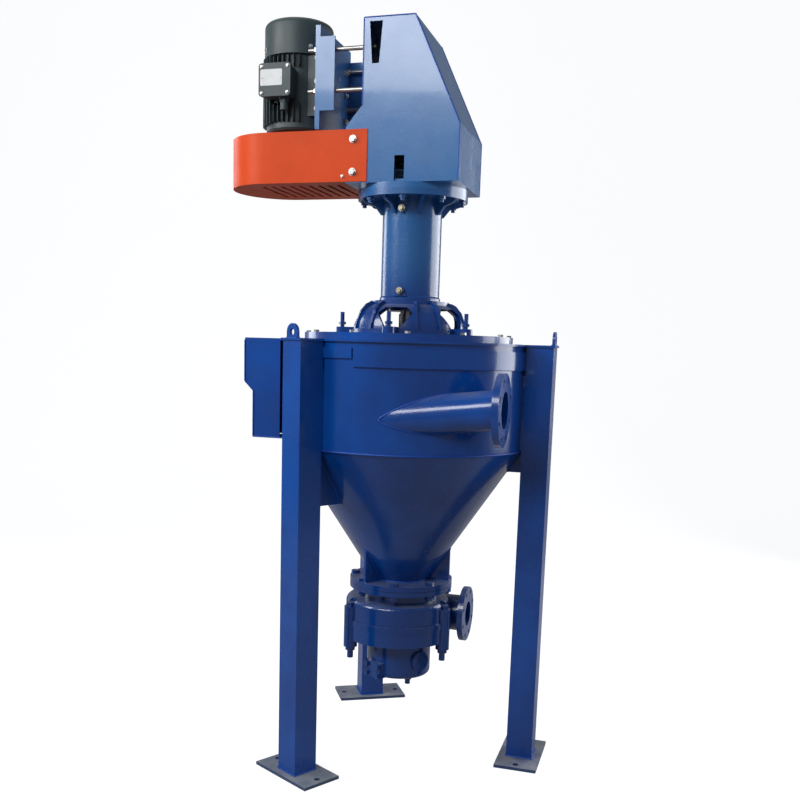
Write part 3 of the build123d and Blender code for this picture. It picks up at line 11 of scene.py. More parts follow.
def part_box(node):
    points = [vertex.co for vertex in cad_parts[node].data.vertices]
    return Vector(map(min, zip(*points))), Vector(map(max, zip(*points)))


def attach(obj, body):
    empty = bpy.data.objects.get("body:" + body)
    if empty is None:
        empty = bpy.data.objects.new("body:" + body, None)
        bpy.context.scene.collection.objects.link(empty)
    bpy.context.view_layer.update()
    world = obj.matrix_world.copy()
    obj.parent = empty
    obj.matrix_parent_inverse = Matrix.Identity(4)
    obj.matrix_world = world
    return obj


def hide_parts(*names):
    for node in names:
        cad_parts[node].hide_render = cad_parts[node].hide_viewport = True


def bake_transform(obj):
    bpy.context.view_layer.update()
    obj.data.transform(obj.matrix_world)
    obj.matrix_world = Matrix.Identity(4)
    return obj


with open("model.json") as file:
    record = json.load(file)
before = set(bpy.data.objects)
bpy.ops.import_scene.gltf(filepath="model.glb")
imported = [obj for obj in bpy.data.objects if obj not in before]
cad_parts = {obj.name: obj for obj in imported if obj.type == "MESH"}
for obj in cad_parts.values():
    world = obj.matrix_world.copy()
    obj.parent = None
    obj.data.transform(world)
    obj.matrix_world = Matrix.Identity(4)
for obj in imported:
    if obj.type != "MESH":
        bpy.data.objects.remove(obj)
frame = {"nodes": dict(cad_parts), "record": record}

bl_info = {
    "name": "Froth pump",
    "version": (1, 0, 0),
    "blender": (4, 5, 0),
    "location": "View3D > Sidebar > Froth pump",
    "description": "Dresses the packed froth pump with paint, welds and small parts",
    "category": "Object",
}


def length(name, description, default):
    """Size in metres for a property group."""
    return FloatProperty(name=name, description=description, default=default, unit="LENGTH", precision=4)


def factor(name, description, default):
    """Plain number from 0 to 1 for a property group."""
    return FloatProperty(
        name=name, description=description, default=default, min=0.0, max=1.0, subtype="FACTOR"
    )


def watts(name, description, default):
    """Power of a light for a property group."""
    return FloatProperty(name=name, description=description, default=default, min=0.0, unit="POWER")


def colour(name, description, default):
    """Linear RGB colour for a property group."""
    return FloatVectorProperty(
        name=name, description=description, default=default, size=3, min=0.0, max=1.0, subtype="COLOR"
    )


# Floor and curved backdrop, in metres
FLOOR_NEAR = 9.0
FLOOR_FAR = 4.0
FLOOR_HALF_WIDTH = 14.0
BEND_R = 3.0
BEND_STEPS = 12
BACKDROP_TOP = 12.0

# Name, tint, place, what it is aimed at, width and height of each soft light
LAMPS = (
    ("key", (1.0, 0.98, 0.95), (-3.9, -2.9, 4.0), (0.0, 0.0, 1.5), 2.1, 2.1),
    ("high", (1.0, 1.0, 1.0), (-1.5, -4.9, 4.5), (0.0, 0.0, 2.3), 2.8, 1.5),
    ("side", (0.96, 0.98, 1.0), (3.3, 2.5, 2.2), (0.0, 0.0, 1.6), 4.4, 2.6),
    ("back", (0.92, 0.96, 1.0), (-3.9, 1.5, 2.2), (0.0, 0.0, 1.6), 1.4, 2.4),
)


class PumpStage(PropertyGroup):
    """Camera, floor and lights."""

    lens: FloatProperty(
        name="Lens", description="Focal length on a 36 mm sensor", default=42.96, unit="CAMERA"
    )
    shift_x: FloatProperty(name="Shift X", description="Sideways lens shift", default=0.0202)
    shift_y: FloatProperty(name="Shift Y", description="Upward lens shift", default=0.1286)
    camera_place: FloatVectorProperty(
        name="Camera place", description="Where the camera stands", default=(1.0072, -3.6080, 1.5773),
        subtype="TRANSLATION", precision=4
    )
    camera_aim: FloatVectorProperty(
        name="Camera aim", description="The way the camera looks", default=(-0.2851, 0.9454, -0.1582),
        subtype="DIRECTION", precision=4
    )
    roll: FloatProperty(
        name="Roll", description="Roll of the camera", default=math.radians(1.64), subtype="ANGLE"
    )
    floor_colour: colour("Floor", "Colour of the floor and backdrop", (0.24, 0.24, 0.245))
    floor_glow: factor("Floor whiteness", "How pale the floor and backdrop look", 0.89)
    gloss_share: factor("Seen in gloss", "How much of the floor's whiteness gloss reflects", 0.10)
    world_colour: colour("Sky", "Colour of the ambient light", (0.95, 0.975, 1.0))
    world_strength: FloatProperty(name="Sky strength", description="Ambient light", default=0.24, min=0.0)
    world_glow: factor("Sky whiteness", "How pale the sky looks behind the floor", 1.0)
    key_power: watts("Key light", "Watts of the key light", 165.0)
    high_power: watts("High light", "Watts of the high soft light", 138.0)
    side_power: watts("Side light", "Watts of the wide light on the right", 165.0)
    back_power: watts("Back light", "Watts of the strip behind on the left", 45.0)


class PumpPaint(PropertyGroup):
    """Colours of the finishes."""

    blue: colour("Blue", "Royal blue enamel", (0.0010, 0.070, 0.360))
    blue_deep: colour("Deep blue", "Enamel where it lies thick", (0.0003, 0.024, 0.160))
    # Painted sheen: paler blue higher up on the column and the drive bracket, in place of reflected light
    sheen_blue: colour("Painted sheen blue", "Painted sheen on the column and the drive bracket", (0.030, 0.155, 0.385))
    foot: colour("Foot plates", "Scuffed paint on the foot plates", (0.050, 0.085, 0.150))
    orange: colour("Orange", "Belt guard enamel", (0.680, 0.064, 0.005))
    motor: colour("Motor", "Motor enamel", (0.046, 0.068, 0.076))
    dust: colour("Dust", "Dust on faces that look up", (0.300, 0.310, 0.320))
    zinc: colour("Zinc", "Plated fasteners", (0.470, 0.475, 0.460))
    steel: colour("Steel", "Machined steel", (0.420, 0.420, 0.430))
    iron: colour("Iron", "Bare cast iron", (0.090, 0.088, 0.086))
    rubber: colour("Rubber", "Belts and gasket", (0.016, 0.016, 0.017))
    brass: colour("Brass", "Grease nipples", (0.500, 0.450, 0.330))
    plate: colour("Plate", "Blank white plate on the terminal box", (0.560, 0.590, 0.610))


class PumpDetail(PropertyGroup):
    """Sizes of the pieces that the scene adds."""

    weld_r: length("Weld radius", "Half width of a weld bead", 0.0045)
    weld_pitch: length("Weld ripple", "Distance between two ripples of a bead", 0.0060)
    weld_steps: IntProperty(name="Weld section", description="Corners round a bead", default=7, min=5)
    plate_w: length("Plate width", "Width of the blank plate", 0.087)
    plate_h: length("Plate height", "Height of the blank plate", 0.057)
    plate_t: length("Plate thickness", "Thickness of the blank plate", 0.0012)
    screw_r: length("Screw radius", "Corner radius of the small hexagon screws", 0.0062)
    fin_root: length("Fin root", "Where a motor fin leaves the barrel, from the motor's axis", 0.1165)
    fin_tip: length("Fin tip", "Outer edge of a motor fin, from the motor's axis", 0.1360)
    fin_t: length("Fin thickness", "Thickness of a motor fin at its root", 0.0044)
    fin_pitch: FloatProperty(
        name="Fin pitch", description="Angle between two fins", default=math.radians(9.0), subtype="ANGLE"
    )


class Value:
    """A shader output that works in Python arithmetic, so a formula becomes maths nodes."""

    def __init__(self, graph, output):
        self.graph = graph
        self.output = output

    def math(self, operation, *others):
        return self.graph.node("ShaderNodeMath", {"operation": operation}, *others)

    def __add__(self, other):
        return self.math("ADD", self, other)

    def __radd__(self, other):
        return self.math("ADD", other, self)

    def __sub__(self, other):
        return self.math("SUBTRACT", self, other)

    def __rsub__(self, other):
        return self.math("SUBTRACT", other, self)

    def __mul__(self, other):
        return self.math("MULTIPLY", self, other)

    def __rmul__(self, other):
        return self.math("MULTIPLY", other, self)

    def ramp(self, low, high):
        """0 below low, 1 above high, smooth between them."""
        settings = {"interpolation_type": "SMOOTHSTEP"}
        return self.graph.node("ShaderNodeMapRange", settings, self, low, high)


class Graph:
    """Builds one material's node tree."""

    def __init__(self, name):
        self.material = bpy.data.materials.new(name)
        self.material.use_nodes = True
        self.tree = self.material.node_tree
        self.shader = next(n for n in self.tree.nodes if n.type == "BSDF_PRINCIPLED")
        self.place = self.node("ShaderNodeTexCoord", {}, output="Object")

    def node(self, kind, settings, *values, output=0, **inputs):
        """Adds a node, sets its options and feeds its inputs by order or by name."""
        node = self.tree.nodes.new(kind)
        for key, value in settings.items():
            setattr(node, key, value)
        for key, value in [*enumerate(values), *inputs.items()]:
            self.feed(node.inputs[key.replace("_", " ") if isinstance(key, str) else key], value)
        return Value(self, node.outputs[output])

    def feed(self, socket, value):
        """Links a shader value to a socket, or sets the socket's own value."""
        if isinstance(value, Value):
            self.tree.links.new(value.output, socket)
        elif hasattr(value, "__len__") and len(value) == 3 and socket.type == "RGBA":
            socket.default_value = (*value, 1.0)
        else:
            socket.default_value = value

    def scaled(self, x, y, z):
        """The object's own coordinates, stretched along each axis."""
        return self.node("ShaderNodeVectorMath", {"operation": "MULTIPLY"}, self.place, (x, y, z))

    def noise(self, scale, detail=3.0, rough=0.55, place=None):
        """Soft fractal noise from 0 to 1."""
        where = place or self.place
        return self.node("ShaderNodeTexNoise", {}, Vector=where, Scale=scale, Detail=detail, Roughness=rough)

    def cells(self, scale):
        """Distance to the nearest cell point."""
        return self.node("ShaderNodeTexVoronoi", {}, Vector=self.place, Scale=scale)

    def up(self):
        """1 where the surface looks straight up, -1 where it looks down."""
        normal = self.node("ShaderNodeNewGeometry", {}, output="Normal")
        return self.node("ShaderNodeSeparateXYZ", {}, normal, output="Z")

    def height(self):
        """Height above the floor in metres, for pieces that stand still."""
        return self.node("ShaderNodeSeparateXYZ", {}, self.place, output="Z")

    def mix(self, share, first, second):
        """Colour between two colours."""
        node = self.tree.nodes.new("ShaderNodeMix")
        node.data_type = "RGBA"
        for place, value in ((0, share), (6, first), (7, second)):
            self.feed(node.inputs[place], value)
        return Value(self, node.outputs[2])

    def finish(self, bump=None, depth=0.001, **inputs):
        """Feeds the surface shader, with a height for the bump."""
        for key, value in inputs.items():
            self.feed(self.shader.inputs[key.replace("_", " ")], value)
        if bump is not None:
            normal = self.node("ShaderNodeBump", {}, Strength=1.0, Distance=depth, Height=bump)
            self.feed(self.shader.inputs["Normal"], normal)
        return self.material


def gloss_enamel(name, light, deep, dust, peel=0.5, cast=0.0, dusty=0.35, gloss=0.16, pale=None):
    """Brushed or sprayed enamel: cloudy colour, orange peel, chips and settled dust.

    pale is (colour, low height, high height, share) of a painted sheen: paler blue higher up, standing in
    for reflected light.
    """
    g = Graph(name)
    clouds = g.noise(3.1, 4.0).ramp(0.30, 0.72)
    runs = g.noise(5.0, 3.0, 0.6, g.scaled(1.0, 1.0, 0.12)).ramp(0.35, 0.75)
    base = g.mix(clouds * 0.55 + runs * 0.30, light, deep)
    # Painted sheen: the colour turns paler with height, standing in for light reflected on the upper parts
    if pale:
        sheen_blue, low_z, high_z, share = pale
        base = g.mix(g.height().ramp(low_z, high_z) * (share - 0.25 * share * runs), base, sheen_blue)
    grime = g.noise(17.0, 5.0, 0.65).ramp(0.52, 0.80)
    base = g.mix(grime * 0.22, base, deep)
    settled = g.up().ramp(0.55, 0.98) * (0.45 + 0.55 * g.noise(9.0, 4.0).ramp(0.30, 0.70)) * dusty
    base = g.mix(settled, base, dust)
    chips = g.noise(46.0, 6.0, 0.7).ramp(0.705, 0.735)
    base = g.mix(chips * 0.75, base, (0.045, 0.050, 0.060))
    rough = gloss + 0.13 * clouds + 0.12 * grime + 0.38 * settled + 0.30 * chips
    height = peel * g.noise(150.0, 2.0) + 0.9 * g.noise(6.0, 2.0) - 0.35 * chips
    height = height + cast * (g.noise(62.0, 5.0, 0.7) + 0.5 * g.cells(110.0))
    g.feed(g.shader.inputs["Specular IOR Level"], 0.42)
    g.feed(g.shader.inputs["Coat Roughness"], 0.06)
    coat = 0.46 - 0.42 * settled
    return g.finish(bump=height, depth=0.0009, Base_Color=base, Roughness=rough, Coat_Weight=coat)


def satin_enamel(name, light, dust, rough=0.34, dusty=0.5, shine=0.30):
    """Even satin paint with faint scuffs and dust."""
    g = Graph(name)
    clouds = g.noise(4.0, 4.0).ramp(0.30, 0.72)
    scuff = g.noise(30.0, 6.0, 0.7, g.scaled(1.0, 1.0, 0.25)).ramp(0.58, 0.78)
    deep = tuple(0.72 * c for c in light)
    base = g.mix(clouds * 0.6, light, deep)
    settled = g.up().ramp(0.35, 0.98) * (0.4 + 0.6 * g.noise(11.0, 4.0).ramp(0.30, 0.70)) * dusty
    base = g.mix(settled + scuff * 0.10, base, dust)
    height = 0.4 * g.noise(170.0, 2.0) + 0.5 * g.noise(9.0, 2.0)
    g.feed(g.shader.inputs["Specular IOR Level"], shine)
    rough = rough + 0.14 * clouds + 0.25 * settled
    return g.finish(bump=height, depth=0.0008, Base_Color=base, Roughness=rough)


def bare_metal(name, light, metallic=1.0, rough=0.30, grain=0.5):
    """Plain or plated metal with fine grain and dull stains."""
    g = Graph(name)
    dull = g.noise(26.0, 5.0, 0.65).ramp(0.42, 0.75)
    base = g.mix(dull * 0.40, light, (0.10, 0.085, 0.070))
    fine = g.noise(420.0, 2.0)
    height = grain * fine + 0.4 * g.noise(60.0, 4.0)
    rough = rough + 0.16 * dull + 0.10 * fine
    return g.finish(bump=height, depth=0.0004, Base_Color=base, Metallic=metallic, Roughness=rough)


def rubbery(name, light):
    """Matt rubber with a fine weave."""
    g = Graph(name)
    worn = g.noise(40.0, 4.0).ramp(0.35, 0.70)
    base = g.mix(worn * 0.5, light, (0.040, 0.040, 0.040))
    height = g.noise(500.0, 2.0) + 0.5 * g.noise(90.0, 3.0)
    return g.finish(bump=height, depth=0.0003, Base_Color=base, Roughness=0.68 + 0.2 * worn)


def blank_plate(paint):
    """White printed sheet with nothing on it, a little yellowed and scuffed."""
    g = Graph("blank_plate")
    worn = g.noise(55.0, 5.0).ramp(0.45, 0.80)
    base = g.mix(worn * 0.45, tuple(paint.plate), (0.50, 0.52, 0.50))
    return g.finish(bump=g.noise(300.0, 2.0), depth=0.0002, Base_Color=base, Roughness=0.32 + 0.25 * worn)


def all_finishes():
    """One material for each slot of the record."""
    paint = bpy.context.scene.pump_paint
    blue, deep, dust = tuple(paint.blue), tuple(paint.blue_deep), tuple(paint.dust)
    sheen_blue, foot, orange, motor = (tuple(c) for c in (paint.sheen_blue, paint.foot, paint.orange, paint.motor))
    cast_blue = tuple(0.70 * c for c in blue)
    dusty_orange, dusty_grey = (0.60, 0.20, 0.12), (0.24, 0.27, 0.28)
    # Painted sheen: paler blue higher up on the column and on the drive bracket
    cast_sheen, frame_sheen = (sheen_blue, 1.72, 1.95, 0.60), (sheen_blue, 1.95, 2.20, 0.85)
    return {
        "blue_tank": gloss_enamel("blue_tank", blue, deep, dust, peel=0.32, dusty=0.30),
        "blue_cast": gloss_enamel(
            "blue_cast", cast_blue, deep, dust, peel=0.3, cast=0.55, gloss=0.18, pale=cast_sheen
        ),
        "blue_frame": gloss_enamel("blue_frame", blue, deep, dust, peel=0.28, gloss=0.20, pale=frame_sheen),
        "foot_paint": gloss_enamel("foot_paint", foot, deep, dust, peel=0.8, dusty=0.75, gloss=0.34),
        "orange_guard": satin_enamel("orange_guard", orange, dusty_orange, 0.36, 0.14, 0.16),
        "motor_grey": satin_enamel("motor_grey", motor, dusty_grey, 0.36, 0.75),
        "zinc": bare_metal("zinc", tuple(paint.zinc)),
        "steel": bare_metal("steel", tuple(paint.steel), rough=0.26),
        "iron": bare_metal("iron", tuple(paint.iron), metallic=0.6, rough=0.5, grain=1.2),
        "belt_rubber": rubbery("belt_rubber", tuple(paint.rubber)),
        "gasket_rubber": rubbery("gasket_rubber", (0.022, 0.022, 0.024)),
        "brass": bare_metal("brass", tuple(paint.brass), rough=0.3),
    }


class PUMP_OT_camera(Operator):
    """Places the camera of the photo"""

    bl_idname = "pump.camera"
    bl_label = "Camera"

    def execute(self, context):
        stage = context.scene.pump_stage
        data = bpy.data.cameras.new("camera")
        data.lens = stage.lens
        data.sensor_width = 36.0
        data.shift_x = stage.shift_x
        data.shift_y = stage.shift_y
        data.clip_end = 60.0
        camera = bpy.data.objects.new("camera", data)
        context.scene.collection.objects.link(camera)
        forward = Vector(stage.camera_aim).normalized()
        level = forward.cross(Vector((0.0, 0.0, 1.0))).normalized()
        upright = level.cross(forward)
        turn, lift = math.cos(stage.roll), math.sin(stage.roll)
        side = turn * level + lift * upright
        top = turn * upright - lift * level
        matrix = Matrix((side, top, -forward)).transposed().to_4x4()
        matrix.translation = Vector(stage.camera_place)
        camera.matrix_world = matrix
        context.scene.camera = camera
        return {"FINISHED"}


def area_light(name, place, target, width, height, power, tint):
    """Rectangular soft light that looks at a point."""
    data = bpy.data.lights.new(name, "AREA")
    data.shape = "RECTANGLE"
    data.size = width
    data.size_y = height
    data.energy = power
    data.color = tint
    lamp = bpy.data.objects.new(name, data)
    lamp.visible_camera = False
    bpy.context.scene.collection.objects.link(lamp)
    away = Vector(place) - Vector(target)
    lamp.matrix_world = Matrix.Translation(place) @ away.to_track_quat("Z", "Y").to_matrix().to_4x4()
    return lamp


def seen_rays(g, share):
    """1 for rays from the camera and through glass, and a share of it for gloss."""
    rays = ("Camera", "Glossy", "Transmission")
    camera, gloss, glass = (g.node("ShaderNodeLightPath", {}, output=f"Is {ray} Ray") for ray in rays)
    return camera.math("MAXIMUM", camera.math("MAXIMUM", camera, gloss * share), glass)


def floor_finish(stage):
    """Pale matt floor that keeps the object's shadow."""
    g = Graph("floor")
    tone = g.noise(2.0, 3.0).ramp(0.3, 0.7)
    grey = tuple(stage.floor_colour)
    glow = tuple(stage.floor_glow * c for c in (0.985, 0.992, 1.0))
    g.feed(g.shader.inputs["Emission Strength"], 1.0)
    return g.finish(
        Base_Color=g.mix(tone * 0.3, grey, tuple(0.94 * c for c in grey)),
        Roughness=0.8,
        Emission_Color=g.mix(seen_rays(g, stage.gloss_share), (0.0, 0.0, 0.0), glow),
        Specular_IOR_Level=0.1,
    )


def pale_sky(stage):
    """Soft even sky, paler where it is seen."""
    world = bpy.data.worlds.new("sky")
    world.use_nodes = True
    back = world.node_tree.nodes["Background"]
    path = world.node_tree.nodes.new("ShaderNodeLightPath")
    shade = world.node_tree.nodes.new("ShaderNodeMapRange")
    shade.inputs["To Min"].default_value = stage.world_strength
    shade.inputs["To Max"].default_value = stage.world_glow
    world.node_tree.links.new(path.outputs["Is Camera Ray"], shade.inputs["Value"])
    world.node_tree.links.new(shade.outputs["Result"], back.inputs["Strength"])
    back.inputs["Color"].default_value = (*stage.world_colour, 1.0)
    return world


class PUMP_OT_stage(Operator):
    """Builds the floor with its backdrop and the soft lights"""

    bl_idname = "pump.stage"
    bl_label = "Stage"

    def execute(self, context):
        stage = context.scene.pump_stage
        toward = Vector((-0.289, 0.957, 0.0))
        across = Vector((0.957, 0.289, 0.0))
        profile = [(-FLOOR_NEAR, 0.0), (FLOOR_FAR, 0.0)]
        for i in range(1, BEND_STEPS + 1):
            turn = i / BEND_STEPS * math.pi / 2
            profile.append((FLOOR_FAR + BEND_R * math.sin(turn), BEND_R - BEND_R * math.cos(turn)))
        profile.append((FLOOR_FAR + BEND_R, BACKDROP_TOP))
        verts = []
        for run, rise in profile:
            for side in (-FLOOR_HALF_WIDTH, FLOOR_HALF_WIDTH):
                verts.append(toward * run + across * side + Vector((0.0, 0.0, rise)))
        faces = [(2 * i, 2 * i + 1, 2 * i + 3, 2 * i + 2) for i in range(len(profile) - 1)]
        mesh = bpy.data.meshes.new("floor")
        mesh.from_pydata([tuple(v) for v in verts], [], faces)
        mesh.shade_smooth()
        floor = bpy.data.objects.new("floor", mesh)
        context.scene.collection.objects.link(floor)
        mesh.materials.append(floor_finish(stage))
        context.scene.world = pale_sky(stage)
        for name, tint, *layout in LAMPS:
            area_light(name, *layout, getattr(stage, f"{name}_power"), tint)
        context.scene.view_settings.view_transform = "Standard"
        return {"FINISHED"}


class PUMP_OT_finishes(Operator):
    """Gives each CAD node the procedural finish of its material slot"""

    bl_idname = "pump.finishes"
    bl_label = "Finishes"

    def execute(self, context):
        finishes = all_finishes()
        for part in frame["record"]["subparts"]:
            node = frame["nodes"][part["node"]]
            if not node.material_slots:
                node.data.materials.append(None)
            for place in node.material_slots:
                place.material = finishes[part["material_slot"]]
        return {"FINISHED"}


def even_points(points, closed, step):
    """Points at even distances along a polyline."""
    line = [Vector(p) for p in points]
    if closed:
        line.append(line[0])
    runs = [(b - a).length for a, b in zip(line, line[1:])]
    count = max(2, round(sum(runs) / step))
    result = []
    for i in range(count if closed else count + 1):
        along = sum(runs) * i / count
        for a, b, run in zip(line, line[1:], runs):
            if along <= run or b is line[-1]:
                result.append(a.lerp(b, min(1.0, along / run)))
                break
            along -= run
    return result


def bead_rings(bm, points, closed, radius, detail):
    """Adds one rippled weld bead along a path to a mesh."""
    line = even_points(points, closed, detail.weld_pitch / 2)
    rings = []
    for i, place in enumerate(line):
        after = line[(i + 1) % len(line)] if closed or i + 1 < len(line) else place
        before = line[i - 1] if closed or i > 0 else place
        along = (after - before).normalized()
        side = along.orthogonal() if abs(along.z) > 0.9 else along.cross(Vector((0.0, 0.0, 1.0)))
        side.normalize()
        rise = side.cross(along)
        wander = 1.0 + 0.06 * math.sin(2.3 * i) * math.sin(0.37 * i)
        size = radius * wander * (1.0 if i % 2 else 0.84)
        ring = []
        for k in range(detail.weld_steps):
            turn = 2 * math.pi * k / detail.weld_steps
            ring.append(bm.verts.new(place + size * (math.cos(turn) * side + math.sin(turn) * rise)))
        rings.append(ring)
    for first, second in zip(rings, rings[1:] + (rings[:1] if closed else [])):
        for k in range(detail.weld_steps):
            after = (k + 1) % detail.weld_steps
            bm.faces.new((first[k], first[after], second[after], second[k]))
    if not closed:
        bm.faces.new(rings[0])
        bm.faces.new(rings[-1])


def add_piece(name, bm, body, slot, finish=None, flat=False):
    """Turns a mesh under construction into a piece that rides on a body."""
    bmesh.ops.recalc_face_normals(bm, faces=bm.faces)
    mesh = bpy.data.meshes.new(name)
    bm.to_mesh(mesh)
    bm.free()
    if flat:
        mesh.shade_flat()
    else:
        mesh.shade_smooth()
    mesh.materials.append(finish or bpy.data.materials[slot])
    piece = bpy.data.objects.new(name, mesh)
    bpy.context.scene.collection.objects.link(piece)
    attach(piece, body)


def add_beads(name, paths, slot, thin=1.0):
    """One piece of weld beads, from a list of (points, closed) paths."""
    detail = bpy.context.scene.pump_detail
    bm = bmesh.new()
    for points, closed in paths:
        bead_rings(bm, points, closed, detail.weld_r * thin, detail)
    add_piece(name, bm, "frame", slot)


def turned_about(angle_deg, points):
    """Points turned about the shaft's axis."""
    spin = Matrix.Rotation(math.radians(angle_deg), 3, "Z")
    return [spin @ Vector(p) for p in points]


def circle(radius, z, first_deg=0.0, last_deg=360.0, count=180):
    """Points on a level circle about the shaft's axis."""
    turns = [math.radians(first_deg + (last_deg - first_deg) * i / count) for i in range(count + 1)]
    return [(radius * math.cos(t), radius * math.sin(t), z) for t in turns]


# Where each leg's web ends on the cone: angle in degrees and height
WEB_ENDS = ((0, 1.131), (120, 1.131), (240, 1.006))
# Lower edges of the tank's bands: first and last angle in degrees and height
BAND_EDGES = ((-98.0, -6.6, 1.517), (-113.4, -98.9, 1.545), (6.6, 113.4, 1.517), (126.6, 169.9, 1.517))
# The overflow box's outer wall steps in between these two heights
OVERFLOW_STEP = 0.036
OVERFLOW_FOLD = (1.409, 1.445)


class PUMP_OT_tank_welds(Operator):
    """Lays the weld beads of the tank, its cone, its bands and the overflow box"""

    bl_idname = "pump.tank_welds"
    bl_label = "Tank welds"

    def execute(self, context):
        low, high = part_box("tank_cone")
        radius, seam_z, foot_z = high[0], high[2], low[2]
        foot_r, rib_r, plate_half, proud = 0.113, 0.198, 0.006, 0.001
        rise = (seam_z - foot_z) / (radius - foot_r)
        rib_z = foot_z + (rib_r - foot_r) * rise
        seam, foot = circle(radius + proud, seam_z), circle(foot_r + proud, foot_z + proud, count=60)
        paths = [(seam[:-1], True), (foot[:-1], True)]
        for angle, web_z in WEB_ENDS:
            web_r = foot_r + (web_z - foot_z) / rise
            edge_r = radius + 4 * proud
            for y in (-plate_half, plate_half):
                for line in (
                    [(web_r, y, web_z), (radius, y, seam_z)],
                    [(edge_r, y, web_z), (edge_r, y, seam_z)],
                    [(foot_r, y, foot_z), (rib_r, y, rib_z)],
                    [(foot_r, y, foot_z), (rib_r, y, foot_z)],
                ):
                    paths.append((turned_about(angle, line), False))
        add_beads("tank_welds", paths, "blue_tank")
        box_low, box_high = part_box("overflow_box")
        step_x, bottom, top = box_low[0] + OVERFLOW_STEP, box_low[2], box_high[2]
        edges = []
        for y in (box_low[1] - proud / 2, box_high[1] + proud / 2):
            wall_x = -math.sqrt(radius**2 - y**2)
            fold = [(step_x, y, OVERFLOW_FOLD[0]), (box_low[0], y, OVERFLOW_FOLD[1]), (box_low[0], y, top)]
            edges.append(([(wall_x, y, top), (wall_x, y, bottom), (step_x, y, bottom), *fold], False))
        add_beads("overflow_welds", edges, "blue_tank", thin=0.72)
        rims = [(circle(radius + 1.5 * proud, z, first, last, 90), False) for first, last, z in BAND_EDGES]
        add_beads("band_welds", rims, "blue_tank", thin=0.5)
        return {"FINISHED"}


class PUMP_OT_frame_welds(Operator):
    """Lays the weld beads of the legs, the lifting lugs and the drive bracket"""

    bl_idname = "pump.frame_welds"
    bl_label = "Frame welds"

    def execute(self, context):
        top_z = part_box("tank_top_plate")[1][2]
        leg_r, leg_half, bead_z = 0.516, 0.051, 0.0135
        lug_faces, lug_half = (0.5555, 0.5665), 0.029
        near, far = leg_r - leg_half, leg_r + leg_half
        square = [(near, -leg_half), (far, -leg_half), (far, leg_half), (near, leg_half)]
        legs = []
        for angle in (0, 120, 240):
            legs.append((turned_about(angle, [(x, y, bead_z) for x, y in square]), True))
            for x in lug_faces:
                legs.append((turned_about(angle, [(x, -lug_half, top_z), (x, lug_half, top_z)]), False))
        add_beads("leg_welds", legs, "blue_frame", thin=0.9)
        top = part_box("bracket_top_plate")[1][2] - 0.001
        face_y, back_x, motor_x = 0.1905, 0.2145, -0.1465
        outline = [(back_x, 2.176), (back_x, 2.370), (0.0425, top), (motor_x, top), (motor_x, 2.441)]
        seams = [([(x, side * face_y, z) for x, z in outline], False) for side in (-1, 1)]
        add_beads("bracket_welds", seams, "blue_frame", thin=0.6)
        return {"FINISHED"}


class PUMP_OT_inlet_welds(Operator):
    """Lays the weld beads round the inlet pipe, at the tank and at its flange"""

    bl_idname = "pump.inlet_welds"
    bl_label = "Inlet welds"

    def execute(self, context):
        tank_r, pipe_r = 0.462, 0.06985
        axis_y, axis_z, back_x = -0.39115, 1.386, 0.431
        slope = math.radians(7.0)
        saddle, neck = [], []
        for i in range(72):
            turn = math.radians(5.0 * i)
            y = axis_y - pipe_r * math.cos(turn)
            x = math.sqrt(tank_r**2 - y**2)
            rise = pipe_r * math.sin(turn)
            run = (back_x - rise * math.sin(slope) - x) / math.cos(slope)
            saddle.append((x, y, axis_z - run * math.sin(slope) + rise * math.cos(slope)))
            neck.append((back_x - 0.002, y, axis_z + rise))
        add_beads("inlet_welds", [(saddle, True), (neck, True)], "blue_tank", thin=0.8)
        return {"FINISHED"}


def hexagon_screw(bm, place, along, radius):
    """Adds a small chamfered hexagon head on a round washer, standing on a surface."""
    turn = Vector(along).to_track_quat("Z", "Y").to_matrix()
    base = Vector(place)
    # Corners of each ring, and its radius and height as multiples of the screw's radius
    layers = [(24, 1.35, 0.0), (24, 1.35, 0.20), (24, 1.22, 0.26)]
    layers += [(6, 1.0, 0.26), (6, 1.0, 0.95), (6, 0.84, 1.10)]
    rings = []
    for corners, wide, high in layers:
        ring = []
        for k in range(corners):
            spin = 2 * math.pi * k / corners
            spot = Vector((math.cos(spin) * wide, math.sin(spin) * wide, high)) * radius
            ring.append(bm.verts.new(base + turn @ spot))
        rings.append(ring)
    for first, second in zip(rings, rings[1:]):
        if len(first) == len(second):
            for k in range(len(first)):
                after = (k + 1) % len(first)
                bm.faces.new((first[k], first[after], second[after], second[k]))
        else:
            bm.faces.new(first)
    bm.faces.new(rings[-1])


# The motor's axis, and the height of its terminal box without the gland
MOTOR_X = -0.470
TERMINAL_HEIGHT = 0.116


